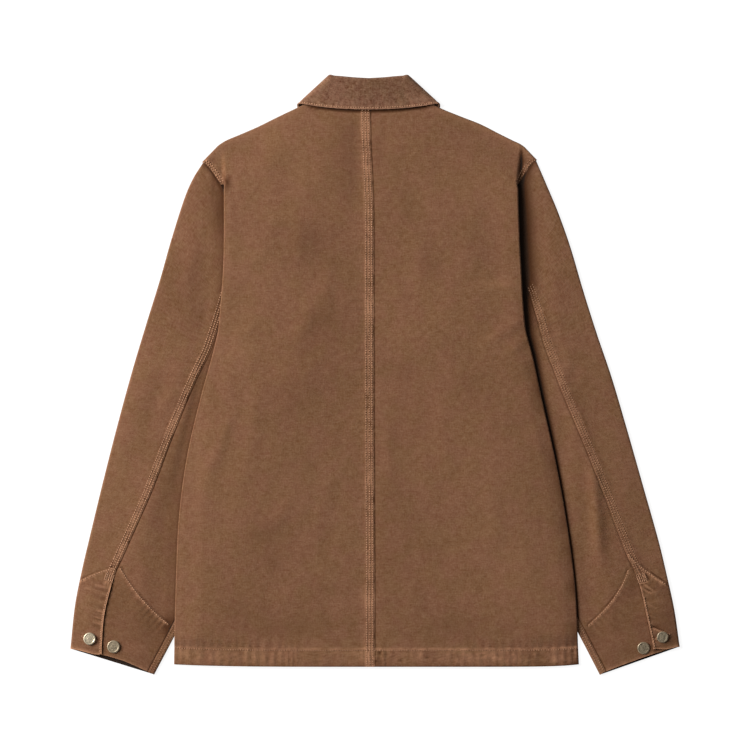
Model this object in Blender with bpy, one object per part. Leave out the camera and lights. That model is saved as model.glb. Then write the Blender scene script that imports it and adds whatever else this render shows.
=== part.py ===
"""A washed canvas chore jacket, laid flat on its front with its back up.

The collar points along +Y, the hem along -Y, and +Z is up. The origin is on the surface,
under the middle of the jacket's outline. Sizes in the tables are millimetres. A distance
called "out" is measured away from the centre line, so the left side mirrors the right.
"""

import math

import bpy
import numpy as np

MM = 0.001
LEFT, RIGHT = -1, 1
SIDES = ((LEFT, "left"), (RIGHT, "right"))

CLOTH = 1.2                 # washed canvas
COLLAR_CLOTH = 1.6          # two layers of canvas, turned and pressed
SEAM_GAP = 0.3
FLOOR_LEVEL = CLOTH / 2     # middle of a layer that rests on the surface
TUCKED = 2.6                # middle of the sleeve's upper layer, where the body covers it
SLEEVE_EDGE_RISE = 0.8
SLEEVE_CROWN = 1.6
OVER_SLEEVE = 3.8           # how far the body's turned-under strip rides over the sleeve
FOLD = 3.2                  # between the layers at the body's side fold, middle to middle
SHOULDER_FOLD = 2.2
BODY_CROWN = 0.9
NECK_CENTRE = -8.2          # the collar sits this far to the side of the outline's middle
SEAM_RIDGE = 0.8            # how far a felled seam stands out
HEM_RIDGE = 0.5
RIDGE_WIDTH = 13.0
SLEEVE_RIDGE = 11.5
HEM_SAG = 3.4
HEM_CORNER = {LEFT: 4, RIGHT: 10}  # the higher, the squarer the hem's corner
HEM_HALF = 275.0            # half the width over which the hem sags
HEM_STARTS = -300.0         # the rows begin to follow the hem here
HEM_REACH = 88.0            # and follow it in full this far below
HEM_BAND_Y = -366.0         # the turned hem's upper edge
TOP_REACH = 190.0           # the rows take up the shoulder's slope over this height
SHOULDER_TURN = 8.0         # how far the back wraps under the front along the shoulder
FRONT_OVERLAP = 20.0        # each front passes the centre line by this
FRONT_STEP = 2.0
COLLAR_BED = 3.2            # the fronts lie this far up, on the collar's two points
CAP_BOW = 11.0
STRIP_RAMP = 10.0
STRIP_LEAD = 1.5            # the strip stays up this far past the sleeve's edge
SLEEVE_FADE = 130.0         # how far in from a sleeve's edge the back still rests on it
CROWN_REACH = 120.0
EDGE_LEAD = 14.0            # a sleeve begins to rise this far out from the body's fold
EDGE_REACH = 36.0
SHOULDER_REACH = 60.0       # the back sinks to its shoulder fold over this
TOP_INSET = 1.7
UNDERLAP = 20.0             # the cuff vent's under layer
FLAP_RISE = 1.7

# How the collar's points lift the fronts, the back and its shoulders: where each begins
# in y, over what height it grows, where it ends sideways and over what width it fades.
COLLAR_LIFTS = {
    "fronts":    {"y": 208, "height": 26, "out": 132, "width": 28, "rise": COLLAR_BED},
    "back":      {"y": 130, "height": 90, "out": 205, "width": 175, "rise": COLLAR_BED + 0.2},
    "shoulders": {"y": 208, "height": 26, "out": 168, "width": 84, "rise": COLLAR_BED},
}

# The body's folded side edges: how far out they are at each height.
FOLD_EDGE = {
    "y":     (-388, -349, -282, -188, -110, -34, 30, 58, 85, 143, 198, 253, 279, 306),
    "left":  (269.0, 268.3, 266.5, 262.0, 251.5, 234.0, 216.5, 210.0, 207.5, 203.0,
              202.0, 202.0, 202.8, 206.0),
    "right": (273.5, 271.7, 268.0, 255.5, 241.0, 224.0, 210.0, 202.5, 199.5, 196.0,
              193.3, 192.0, 193.8, 196.5),
}
# The back's upper edge: the neck as far as NECK_HALF, and then the shoulder.
NECK_HALF = 72.0
TOP_EDGE = {
    "out":   (0, 20, 40, 58, NECK_HALF, 86, 98, 122, 150, 174, 193, 204, 213, 223, 232),
    "left":  (362.6, 362.9, 364.3, 366.6, 367.8, 361.5, 355.8, 344.5, 330.8, 320.5, 312.1,
              304.2, 295.6, 282.8, 270.0),
    "right": (362.6, 362.9, 364.3, 366.6, 367.8, 361.5, 355.6, 346.0, 335.0, 322.7, 313.3,
              307.9, 300.1, 287.2, 274.5),
}
FRONT_NECK = {
    "out": (0, 22, 42, 55, 63, 69, NECK_HALF),
    "y":   (274, 280, 294, 310, 328, 347, 357),
}
# The centre back seam wanders a little: x at each height.
CENTRE_SEAM = {"y": (-392, -300, -88, 207, 352, 370), "x": (0.3, 0.3, -0.6, -1.0, -5.7, -5.7)}

# The body's rows above the underarm: height at the side fold, the place on the armhole, and
# which way the cloth goes from the fold: outwards on the shoulder, and inwards below it.
ARMHOLE_ROWS = (
    {"y": 305, "armhole": 0.0, "way": "out"}, {"y": 287, "armhole": 0.05, "way": "out"},
    {"y": 271, "armhole": 0.095, "way": "out"}, {"y": 255.5, "armhole": 0.135, "way": "out"},
    {"y": 244, "armhole": 0.18, "way": "in"},
    {"y": 227, "armhole": 0.25, "way": "in"}, {"y": 195, "armhole": 0.38, "way": "in"},
    {"y": 161, "armhole": 0.52, "way": "in"}, {"y": 125.5, "armhole": 0.66, "way": "in"},
    {"y": 90, "armhole": 0.80, "way": "in"}, {"y": 60, "armhole": 0.92, "way": "in"},
)
PIT_Y = 39.5
SIDE_ROWS = (PIT_Y, 15, -20, -62, -105, -150, -195, -240, -282, -315, -338, -352, -364.5,
             HEM_BAND_Y, -377, -388)
FRONT_SKIPS = (0.05, 0.18)     # rows of the armhole that the plain fronts do without

# A row of the back: how far from the fold it turns, and where its points are.
FOLD_REACH = {"out": 3.5, "in": 2.2}
NECK_COLUMNS = (0.0, RIDGE_WIDTH, RIDGE_WIDTH + 1.5, 40.0)
BACK_SHARES = (0.08, 0.22, 0.40, 0.60, 0.80, 0.93, 1.0)
SEAM_TOP_Y = 366.0
FOLD_ANGLES = (55, 20, -20, -55, -90)
SHOULDER_ANGLES = (50, 10, -35, -75, -90)
BAND_RISE = 0.5                # the armhole's felled band, and the inner seam's

# Each sleeve from its cuff to its armhole: the outer edge, the inner edge, and the back
# seam as a share of the width from the outer edge.
SLEEVES = {
    LEFT: {
        "outer_out": (407.7, 401.7, 392.3, 382.9, 364.8, 345.4, 325.3, 306.5, 287.8, 273.0,
                      255.6, 243.5, 230.1),
        "outer_y":   (-367.2, -310.2, -262.0, -221.8, -146.7, -70.4, 3.4, 66.3, 126.6, 178.9,
                      233.8, 262.0, 283.4),
        "inner_out": (295.4, 269.0, 246.2, 227.5, 188.6, 161.8, 140.4, 125.6, 118.9, 116.2,
                      114.9, 114.0, 113.6),
        "inner_y":   (-401.9, -351.8, -306.2, -264.7, -181.6, -97.2, -28.8, 8.7, 23.5, 30.2,
                      34.2, 37.0, 39.5),
        "seam":      (0.364, 0.30, 0.29, 0.32, 0.37, 0.412, 0.457, 0.492, 0.488, 0.485, 0.488,
                      0.49, 0.50),
    },
    RIGHT: {
        "outer_out": (408.5, 401.5, 392.0, 380.0, 359.5, 338.2, 317.6, 297.2, 279.4, 262.4,
                      245.8, 230.0, 216.1),
        "outer_y":   (-364.5, -316.0, -272.0, -222.0, -149.4, -74.4, -4.7, 55.6, 111.9, 169.5,
                      216.4, 254.0, 286.1),
        "inner_out": (301.4, 272.4, 252.0, 234.0, 193.0, 165.5, 143.0, 127.0, 119.5, 116.5,
                      114.8, 113.7, 112.9),
        "inner_y":   (-402.3, -346.4, -308.0, -266.0, -181.0, -96.5, -29.0, 9.0, 24.0, 31.0,
                      34.5, 37.3, 39.5),
        "seam":      (0.31, 0.29, 0.27, 0.312, 0.322, 0.366, 0.406, 0.410, 0.395, 0.40, 0.43,
                      0.46, 0.50),
    },
}
SLEEVE_ROWS = (0, 0.3, 0.32, 0.65, 1, 1.35, 1.7, 2.1, 2.6, 3.2, 4, 4.8, 5.6, 6.4, 7.2, 8, 9,
               10, 11, 12)
VENT_TOP = 1.7             # the row where the cuff's vent begins
UPPER_SHARES = (0.50, 0.36, 0.27, 0.19, 0.10)
BOTTOM_SHARES = (0.04, 0.095, 0.135, 0.25, 0.38, 0.52, 0.66, 0.80, 0.92)
FRONT_TOP_SHARE = BOTTOM_SHARES[0]
INNER_RIDGE = 9.5
BOWED_FROM = 9.0           # above this row the sleeve takes up the armhole's bow
BOWED_ROWS = 3.0

# Soft folds of the back, each a ridge from one point to another.
BACK_FOLDS = (
    {"x0": -203, "y0": 58, "x1": -150, "y1": 84, "width": 11, "rise": 0.7},
    {"x0": -199, "y0": 142, "x1": -160, "y1": 120, "width": 12, "rise": 0.5},
    {"x0": 196, "y0": 62, "x1": 146, "y1": 40, "width": 11, "rise": 0.8},
    {"x0": 198, "y0": 88, "x1": 140, "y1": 92, "width": 12, "rise": 0.6},
    {"x0": -215, "y0": -40, "x1": -190, "y1": -190, "width": 16, "rise": 0.6},
    {"x0": 226, "y0": -90, "x1": 214, "y1": -230, "width": 15, "rise": 0.5},
    {"x0": -120, "y0": 250, "x1": -60, "y1": 190, "width": 26, "rise": 0.5},
    {"x0": 90, "y0": 262, "x1": 50, "y1": 180, "width": 26, "rise": 0.5},
)

# The collar from the centre back (first) round the neck to the centre front (last). neck is
# the seam, roll the turned edge and leaf the outer edge. turn is 0 where the leaf lies over
# the stand, 90 at the crease beside the neck and 180 where it lies under.
COLLAR = {
    "neck_out": (0, 20, 40, 58, 67, 70.2, 71.4, 70.4, 69.0, 65.5, 55, 40, 21, 4),
    "neck_y":   (363.4, 363.8, 365.3, 367.7, 369.6, 370.3, 370.5, 369.8, 367.2, 345, 319,
                 299.5, 284.5, 276.5),
    "neck_z":   (7.6, 7.2, 6.5, 6.1, 6.3, 6.2, 5.1, 4.0, 3.6, 3.6, 3.6, 3.6, 3.6, 3.6),
    "roll_out": (0, 20, 36.5, 44.2, 46.4, 47.4, 48.6, 47.6, 47.0, 49, 40, 29, 16, 4),
    "roll_y":   (396.4, 397.6, 399.2, 399.6, 399.4, 398.9, 398.2, 397.6, 396.0, 376, 348,
                 328, 314, 307),
    "leaf_out": (0, 21.5, 46, 70, 87, 93, 95.3, 95.5, 95, 92, 75, 52, 28, 5),
    "leaf_y":   (354.5, 354.9, 356.3, 359.0, 361.8, 362.2, 361.0, 358.3, 351, 330, 295,
                 270, 252.5, 243),
    "leaf_z":   (10.9, 10.5, 9.9, 9.2, 8.9, 7.9, 5.0, 2.1, 0.9, 0.8, 0.8, 0.8, 0.8, 0.8),
    "turn":     (0, 0, 2, 8, 22, 55, 90, 128, 168, 180, 180, 180, 180, 180),
    "radius":   (4.2, 4.2, 4.2, 4.2, 3.9, 3.1, 2.2, 1.8, 1.45, 1.4, 1.4, 1.4, 1.4, 1.4),
}
COLLAR_STATIONS = (0, 1, 2, 2.6, 3.2, 3.7, 4.2, 4.6, 5, 5.5, 6, 6.5, 7, 7.5, 8, 8.5, 9, 10,
                   11, 12, 13)

BUTTON_WIDTH = 17.0
BUTTON_HEIGHT = 2.6
# The button's post and the rim of its head: radius, and height above the button's foot.
BUTTON_RESTS = ((0.0, 0.0), (3.2, 0.0), (7.0, 0.9), (8.5, 1.0))
BUTTONS = (
    {"name": "cuff_button_left_1", "x": -381.6, "y": -353.6},
    {"name": "cuff_button_left_2", "x": -349.7, "y": -364.3},
    {"name": "cuff_button_right_1", "x": 384.9, "y": -351.3},
    {"name": "cuff_button_right_2", "x": 359.6, "y": -366.1},
)

CANVAS = {"colour": (0.205, 0.100, 0.055), "roughness": 0.92, "metallic": 0.0}
COLLAR_CANVAS = {"colour": (0.175, 0.088, 0.050), "roughness": 0.92, "metallic": 0.0}
BRASS = {"colour": (0.42, 0.30, 0.17), "roughness": 0.42, "metallic": 1.0}


def smooth(t):
    t = min(max(t, 0.0), 1.0)
    return t * t * (3 - 2 * t)


def mix(a, b, t):
    return a + (b - a) * t


def curve(xs, ys, x):
    """A smooth curve through the points (xs, ys) that doesn't overshoot between them."""
    xs, ys = np.asarray(xs, float), np.asarray(ys, float)
    slopes = np.diff(ys) / np.diff(xs)
    tangents = np.empty(len(xs))
    tangents[0], tangents[-1] = slopes[0], slopes[-1]
    inner = slopes[:-1] * slopes[1:] > 0
    tangents[1:-1] = np.where(inner, (slopes[:-1] + slopes[1:]) / 2, 0)
    steepest = 3 * np.minimum(np.abs(slopes[:-1]), np.abs(slopes[1:]))
    tangents[1:-1] = np.clip(tangents[1:-1], -steepest, steepest)
    i = int(np.clip(np.searchsorted(xs, x) - 1, 0, len(xs) - 2))
    span = xs[i + 1] - xs[i]
    t = min(max((x - xs[i]) / span, 0.0), 1.0)
    return float(
        ys[i] * (1 + 2 * t) * (1 - t) ** 2
        + ys[i + 1] * t * t * (3 - 2 * t)
        + span * (tangents[i] * t * (1 - t) ** 2 - tangents[i + 1] * t * t * (1 - t))
    )


def side_name(side):
    return "left" if side == LEFT else "right"


def fold_out(side, y):
    return curve(FOLD_EDGE["y"], FOLD_EDGE[side_name(side)], y)


def top_y(side, x):
    return curve(TOP_EDGE["out"], TOP_EDGE[side_name(side)], abs(x - NECK_CENTRE))


def seam_x(y):
    return curve(CENTRE_SEAM["y"], CENTRE_SEAM["x"], y)


def armhole(side, share, inset=0.0):
    """(out, y) on the armhole, from the shoulder (share 0) to the underarm (share 1)."""
    table = SLEEVES[side]
    ax, ay = table["outer_out"][-1], table["outer_y"][-1]
    bx, by = table["inner_out"][-1], table["inner_y"][-1]
    length = math.hypot(bx - ax, by - ay)
    across = ((ay - by) / length, (ax - bx) / length)
    bow = CAP_BOW * math.sin(math.pi * share ** 0.6) - inset
    return mix(ax, bx, share) - across[0] * bow, mix(ay, by, share) + across[1] * bow


def armhole_out(side, y):
    points = [armhole(side, i / 40) for i in range(41)]
    ys = [p[1] for p in reversed(points)]
    return float(np.interp(y, ys, [p[0] for p in reversed(points)]))


def sleeve_inner_out(side, y):
    """How far out the sleeve's inner edge is: the armhole above the underarm."""
    table = SLEEVES[side]
    if y >= table["inner_y"][-1]:
        return armhole_out(side, y)
    return curve(table["inner_y"], table["inner_out"], y)


def sleeve_level(side, out, y, share):
    """Middle of the sleeve's upper layer: pressed flat under the body, soft outside it."""
    free = smooth((out - fold_out(side, y) - EDGE_LEAD) / EDGE_REACH)
    share = min(max(share, 0.0), 1.0)
    return TUCKED + free * (SLEEVE_EDGE_RISE + SLEEVE_CROWN * math.sin(math.pi * share))


def strip_level(side, out, y):
    """Middle of the body's lower layer: over the sleeve, and down to the surface inside it."""
    inside = sleeve_inner_out(side, y) - out - STRIP_LEAD
    inside *= smooth((PIT_Y - 2 - y) / 18)
    return FLOOR_LEVEL + OVER_SLEEVE * (1 - smooth(inside / STRIP_RAMP))


def collar_lift(part, x, y):
    """How far the collar's points, underneath, lift a part of the body."""
    lift = COLLAR_LIFTS[part]
    out = abs(x - NECK_CENTRE)
    raised = smooth((y - lift["y"]) / lift["height"])
    return lift["rise"] * raised * smooth((lift["out"] - out) / lift["width"])


def ridge_height(folds, x, y):
    total = 0.0
    for fold in folds:
        along = np.array((fold["x1"] - fold["x0"], fold["y1"] - fold["y0"]), float)
        length = np.linalg.norm(along)
        along /= length
        place = np.array((x - fold["x0"], y - fold["y0"]))
        t = float(place @ along)
        off = abs(float(place[0] * along[1] - place[1] * along[0]))
        ends = smooth(t / (0.3 * length) + 0.5) * smooth((length - t) / (0.5 * length))
        total += fold["rise"] * ends * math.exp(-((off / fold["width"]) ** 2))
    return total


def back_level(side, x, y, edge_y):
    """Middle of the back, away from its side fold."""
    out = x * side
    edge = fold_out(side, edge_y)
    edge_lift = strip_level(side, edge - FOLD / 2, edge_y) - FLOOR_LEVEL
    covered = max(edge - sleeve_inner_out(side, edge_y), 0) + STRIP_RAMP
    lift = edge_lift * (1 - smooth((edge - out - covered) / SLEEVE_FADE))
    crown = BODY_CROWN * smooth((edge - out) / CROWN_REACH)
    level = FLOOR_LEVEL + FOLD + lift + crown + ridge_height(BACK_FOLDS, x, y)
    level += collar_lift("back", x, y)
    shoulder = FLOOR_LEVEL + collar_lift("shoulders", x, y) + SHOULDER_FOLD
    from_top = top_y(side, x) - y
    inside_neck = max(NECK_HALF - abs(x - NECK_CENTRE), 0)
    from_top += 0.5 * inside_neck
    return mix(shoulder, level, smooth((from_top - 2) / SHOULDER_REACH))


def make_material(name, finish):
    material = bpy.data.materials.new(name)
    material.use_nodes = True
    shader = material.node_tree.nodes["Principled BSDF"]
    shader.inputs["Base Color"].default_value = (*finish["colour"], 1.0)
    shader.inputs["Roughness"].default_value = finish["roughness"]
    shader.inputs["Metallic"].default_value = finish["metallic"]
    material.diffuse_color = (*finish["colour"], 1.0)
    return material


def make_object(name, points, faces, material):
    """One object from points in millimetres, turned so that its faces point outwards."""
    points = np.asarray(points, float)
    volume = 0.0
    for face in faces:
        for k in range(1, len(face) - 1):
            a, b, c = points[face[0]], points[face[k]], points[face[k + 1]]
            volume += float(np.dot(a, np.cross(b, c)))
    if volume < 0:
        faces = [tuple(reversed(face)) for face in faces]
    mesh = bpy.data.meshes.new(name)
    mesh.from_pydata([tuple(p) for p in points * MM], [], faces)
    mesh.materials.append(material)
    mesh.shade_smooth()
    mesh.set_sharp_from_angle(angle=math.radians(50))
    obj = bpy.data.objects.new(name, mesh)
    bpy.context.scene.collection.objects.link(obj)
    return obj


def wall(name, middle, outward, thickness, material, raised=None, keep=None):
    """A cloth wall about a grid of middle points.

    outward is 1 or -1 and says which way the outside lies; raised lifts the outer points;
    keep says which cells of the grid are cloth.
    """
    middle = np.asarray(middle, float)
    rows, columns = middle.shape[:2]
    if raised is None:
        raised = np.zeros((rows, columns))
    if keep is None:
        keep = np.ones((rows - 1, columns - 1), bool)
    normals = np.zeros_like(middle)
    for i, j in zip(*np.nonzero(keep)):
        a, b, c, d = middle[i, j], middle[i, j + 1], middle[i + 1, j + 1], middle[i + 1, j]
        normal = np.cross(c - a, d - b)
        normal /= max(np.linalg.norm(normal), 1e-9)
        for p in ((i, j), (i, j + 1), (i + 1, j + 1), (i + 1, j)):
            normals[p] += normal
    lengths = np.linalg.norm(normals, axis=2, keepdims=True)
    normals = outward * normals / np.maximum(lengths, 1e-9)
    outer = middle + normals * (thickness / 2 + np.asarray(raised))[:, :, None]
    inner = middle - normals * thickness / 2
    numbers, points, faces = {}, [], []

    def number(layer, i, j):
        if (layer, i, j) not in numbers:
            numbers[layer, i, j] = len(points)
            points.append((outer if layer else inner)[i, j])
        return numbers[layer, i, j]

    rim = {}
    for i, j in zip(*np.nonzero(keep)):
        ring = ((i, j), (i, j + 1), (i + 1, j + 1), (i + 1, j))
        for half in ((0, 1, 2), (0, 2, 3)):
            faces.append(tuple(number(1, *ring[k]) for k in half))
            faces.append(tuple(number(0, *ring[k]) for k in reversed(half)))
        for p, q in zip(ring, ring[1:] + ring[:1]):
            if (q, p) in rim:
                del rim[q, p]
            else:
                rim[p, q] = True
    for p, q in rim:
        faces.append((number(1, *q), number(1, *p), number(0, *p), number(0, *q)))
    return make_object(name, points, faces, material)


def body_rows(side):
    """Each row of the body: its height at the fold, and its far end on the underside."""
    rows = []
    for row in ARMHOLE_ROWS:
        out, y = armhole(side, row["armhole"])
        rows.append({"y": row["y"], "way": row["way"], "share": row["armhole"],
                     "end_out": out, "end_y": y})
    for y in SIDE_ROWS:
        out = min(sleeve_inner_out(side, y) - STRIP_LEAD - STRIP_RAMP - 1, fold_out(side, y) - 16)
        rows.append({"y": y, "way": "in", "share": None, "end_out": out, "end_y": y})
    return rows


def hem_drop(side, x, row):
    """How far the hem's sag lowers a row."""
    hem = smooth((HEM_STARTS - row["y"]) / HEM_REACH)
    return hem * HEM_SAG * (1 - (abs(x) / HEM_HALF) ** HEM_CORNER[side])


def top_climb(row):
    """How much of the shoulder's slope a row takes up: 1 at the top row, and 0 lower down."""
    return 1 - smooth((ARMHOLE_ROWS[0]["y"] - row["y"]) / TOP_REACH)


def row_y(side, x, row, top):
    """Rows are level at the hem, and follow the shoulder and neck near the top."""
    climbed = top_climb(row) * (top(side, x) - ARMHOLE_ROWS[0]["y"])
    return row["y"] + climbed - hem_drop(side, x, row)


def back_top(side, x):
    """The back's last row: the neck edge, or just short of the shoulder's fold."""
    out = abs(x - NECK_CENTRE)
    return top_y(side, x) - TOP_INSET * smooth((out - NECK_HALF + 8) / 10)


def neck_share(side):
    """Where the neck ends and the shoulder begins, as a share of a row's width."""
    start = seam_x(SEAM_TOP_Y) * side
    tangent = fold_out(side, ARMHOLE_ROWS[0]["y"]) - FOLD_REACH["out"]
    return (NECK_HALF + NECK_CENTRE * side - start) / (tangent - start)


def back_panel(side, name, material):
    rows = body_rows(side)
    middle, raised = [], []
    for row in rows:
        y = row["y"]
        edge = fold_out(side, y)
        seam_y = min(row_y(side, 0, row, back_top), SEAM_TOP_Y)
        start = seam_x(seam_y) * side + SEAM_GAP / 2
        tangent = edge - FOLD_REACH[row["way"]]
        neck = mix(start, tangent, neck_share(side))
        outs = [start + c for c in NECK_COLUMNS]
        outs += [(outs[-1] + neck) / 2, neck]
        outs += [mix(neck, tangent, share) for share in BACK_SHARES]
        line = []
        for out in outs:
            py = row_y(side, out * side, row, back_top)
            line.append((out * side, py, back_level(side, out * side, py, y)))
        line += folded_under(side, row, tangent, line[-1][2])
        rises = [0.0] * len(line)
        if side == LEFT:
            rises[:2] = [SEAM_RIDGE] * 2
        if row["share"] is not None and row["share"] < 0.1:
            rises[-4:] = [BAND_RISE] * 4
        if y <= HEM_BAND_Y:
            under = len(outs) + 2
            rises = [rise + HEM_RIDGE for rise in rises[:under]] + rises[under:]
        middle.append(line)
        raised.append(rises)
    middle, raised, keep = shoulder_turn(side, np.array(middle), np.array(raised))
    return wall(name, middle, -side, CLOTH, material, raised, keep)


def folded_under(side, row, tangent, high):
    """The rest of a body row: round the side fold, and to the row's far end."""
    share = row["share"]
    end_out, end_y = row["end_out"], row["end_y"]
    if row["way"] == "out":
        low = sleeve_level(side, end_out, end_y, share)
        reach = min(2 * FOLD_REACH["out"], end_out - tangent - 0.8)
        path = [(tangent + reach * t, mix(high, low, smooth(t))) for t in (0.2, 0.4, 0.6, 0.8, 1)]
        path += [(mix(tangent + reach, end_out, t), low) for t in (0.3, 0.6, 0.7, 0.8, 0.9, 1)]
    else:
        low = strip_level(side, tangent, row["y"])
        radius = (high - low) / 2
        path = []
        for degrees in FOLD_ANGLES:
            angle = math.radians(degrees)
            path.append((tangent + FOLD / 2 * math.cos(angle),
                         high - radius * (1 - math.sin(angle))))
        if share is not None:
            last = min(end_out, tangent - 2)
            ends = (0.17, 0.34, 0.5, 0.67, 0.84, 1)
            if share >= 0.3:
                ends = (0.3, 0.6, 0.9, 0.94, 0.97, 1)
            stops = [mix(tangent, last, t) for t in ends]
        else:
            knee = min(sleeve_inner_out(side, end_y), tangent - 3)
            knee = min(knee - STRIP_LEAD, tangent - 2)
            stops = [mix(tangent, knee, t) for t in (0.35, 0.7, 1)]
            stops += [mix(knee, end_out, t) for t in (0.4, 0.8, 1)]
        path += [(out, None) for out in stops]
    points = []
    for k, (out, z) in enumerate(path):
        x = out * side
        y = row_y(side, x, row, back_top)
        if share is not None:
            t = max(k - 4, 0) / 6
            start_y = row_y(side, path[4][0] * side, row, back_top)
            y = mix(y, mix(start_y, end_y, t), smooth((k - 3) / 3))
            if row["way"] == "out" and k > 4:
                across = (out - path[4][0]) / (end_out - path[4][0])
                y = mix(start_y, end_y, across)
        points.append((x, y, strip_level(side, out, y) if z is None else z))
    return points


def shoulder_turn(side, middle, raised):
    """Adds the rows that wrap round the shoulder's fold on to the underside."""
    columns = middle.shape[1]
    first = len(NECK_COLUMNS) + 1
    along = np.gradient(middle[0, :, :2], axis=0)
    extra, keep_extra = [], []
    cap = np.subtract(armhole(side, 0), armhole(side, FRONT_TOP_SHARE)) * (side, 1)
    cap /= np.linalg.norm(cap)
    for degrees in (*SHOULDER_ANGLES, None):
        line = []
        for j in range(columns):
            x, y, z = middle[0, j]
            out = np.array((-along[j, 1], along[j, 0])) * side
            out /= max(np.linalg.norm(out), 1e-9)
            if out[1] < 0:
                out = -out
            out = mix(out, cap, smooth((j - columns + 6) / 5))
            out /= np.linalg.norm(out)
            low = FLOOR_LEVEL + collar_lift("fronts", x, y)
            radius = max((z - low) / 2, 0.2)
            if degrees is None:
                place = (x - out[0] * SHOULDER_TURN, y - out[1] * SHOULDER_TURN, low)
            else:
                angle = math.radians(degrees)
                push = 1.1 * math.cos(angle)
                place = (x + out[0] * push, y + out[1] * push, z - radius + radius * math.sin(angle))
            line.append(place)
        extra.append(line)
    middle = np.concatenate([np.array(extra[::-1]), middle])
    raised = np.concatenate([np.zeros((len(extra), columns)), raised])
    keep = np.ones((middle.shape[0] - 1, columns - 1), bool)
    keep[:len(extra), :first] = False
    # The cloth changes from outwards to inwards between these two rows, so it's slit there.
    ways = [row["way"] for row in ARMHOLE_ROWS]
    slit = len(extra) + ways.index("in") - 1
    keep[slit, len(NECK_COLUMNS) + 2 + len(BACK_SHARES) + 2:] = False
    return middle, raised, keep


def front_top(side, x):
    out = abs(x - NECK_CENTRE)
    neck = curve(FRONT_NECK["out"], FRONT_NECK["y"], out)
    slope = (top_y(side, x + 2) - top_y(side, x - 2)) / 4
    shoulder = top_y(side, x) - (TOP_INSET + SHOULDER_TURN + 1) * math.hypot(1, slope)
    return mix(neck, shoulder, smooth((out - NECK_HALF) / 10 + 0.5))


def front_rows(side):
    rows = [dict(row) for row in body_rows(side) if row["share"] not in FRONT_SKIPS]
    rows[0]["end_out"], rows[0]["end_y"] = armhole(side, FRONT_TOP_SHARE)
    return rows


def front_row_y(side, x, row, across):
    """The front's rows follow its neck and shoulder near the top, and are level at the hem."""
    end = front_top(side, row["end_out"] * side)
    if row["y"] == ARMHOLE_ROWS[0]["y"]:
        return front_top(side, x) + (row["end_y"] - end) * across ** 4
    climbed = top_climb(row) * (front_top(side, x) - end)
    return row["end_y"] + climbed - hem_drop(side, x, row)


def front_panel(side, name, material):
    """A front, face down. The left one is outermost, so it lies lowest."""
    middle = []
    for row in front_rows(side):
        end = row["end_out"] - SEAM_GAP
        shift = NECK_CENTRE * side
        outs = [shift - FRONT_OVERLAP, shift, FRONT_OVERLAP + 1.5 + shift,
                FRONT_OVERLAP + 8 + shift]
        outs += [42 + shift, 55 + shift, 66 + shift, NECK_HALF + shift]
        outs += [mix(NECK_HALF + shift, end, t) for t in (0.2, 0.4, 0.7, 1.0)]
        if end < NECK_HALF + shift + 12:
            outs = [mix(outs[0], end, t) for t in np.linspace(0, 1, len(outs))]
        line = []
        for out in outs:
            x = out * side
            y = front_row_y(side, x, row, (out - outs[0]) / (end - outs[0]))
            step = 0.0
            if side == RIGHT:
                step = FRONT_STEP * (1 - smooth((x - NECK_CENTRE - FRONT_OVERLAP - 1.5) / 6.5))
            line.append((x, y, FLOOR_LEVEL + collar_lift("fronts", x, y) + step))
        middle.append(line)
    return wall(name, middle, side, CLOTH, material)


def sleeve_row(side, v):
    table = SLEEVES[side]
    index = range(len(table["outer_y"]))
    keys = ("outer_out", "outer_y", "inner_out", "inner_y", "seam")
    return {key: curve(index, table[key], v) for key in keys}


def sleeve_point(side, v, share):
    """(out, y) on a sleeve's row; the rows near the armhole take up its bow."""
    row = sleeve_row(side, v)
    out = mix(row["outer_out"], row["inner_out"], share)
    y = mix(row["outer_y"], row["inner_y"], share)
    bowed = smooth((v - BOWED_FROM) / BOWED_ROWS)
    flat_out = mix(SLEEVES[side]["outer_out"][-1], SLEEVES[side]["inner_out"][-1], share)
    flat_y = mix(SLEEVES[side]["outer_y"][-1], SLEEVES[side]["inner_y"][-1], share)
    cap_out, cap_y = armhole(side, min(max(share, 0), 1), SEAM_GAP)
    return out + bowed * (cap_out - flat_out), y + bowed * (cap_y - flat_y)


def sleeve_line(side, v):
    """Ways to place points on one row: over the top, round each edge and underneath."""
    row = sleeve_row(side, v)
    width = math.hypot(row["outer_out"] - row["inner_out"], row["outer_y"] - row["inner_y"])
    points = {"width": width, "row": row}
    for name, share, step in (("outer", 0.0, 0.02), ("inner", 1.0, -0.02)):
        end = np.array(sleeve_point(side, v, share))
        inward = np.array(sleeve_point(side, v, share + step)) - end
        inward /= np.linalg.norm(inward)
        top = sleeve_level(side, end[0], end[1], share)
        points[name] = {"end": end, "inward": inward, "top": top}
    return points


def edge_arc(side, end, angles):
    """Points round a sleeve's folded edge, from its top (90 degrees) to its bottom (-90)."""
    radius = (end["top"] - FLOOR_LEVEL) / 2
    arc = []
    for degrees in angles:
        angle = math.radians(degrees)
        inset = CLOTH / 2 + radius * (1 - math.cos(angle))
        out, y = end["end"] + end["inward"] * inset
        arc.append((out * side, y, FLOOR_LEVEL + radius + radius * math.sin(angle)))
    return arc


def sleeve_top_point(side, v, share, rise=0.0):
    out, y = sleeve_point(side, v, share)
    return out * side, y, sleeve_level(side, out, y, share) + rise


def vent(v, lead=0.0):
    """How far the cuff's vent has opened: 0 above it, 1 over most of its length."""
    return smooth((VENT_TOP + lead - v) / 0.35)


def uncovered(side, point):
    """1 where the body doesn't lie on the sleeve, and 0 where it does."""
    return smooth((point[0] * side - fold_out(side, point[1]) - 5) / 14)


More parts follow.
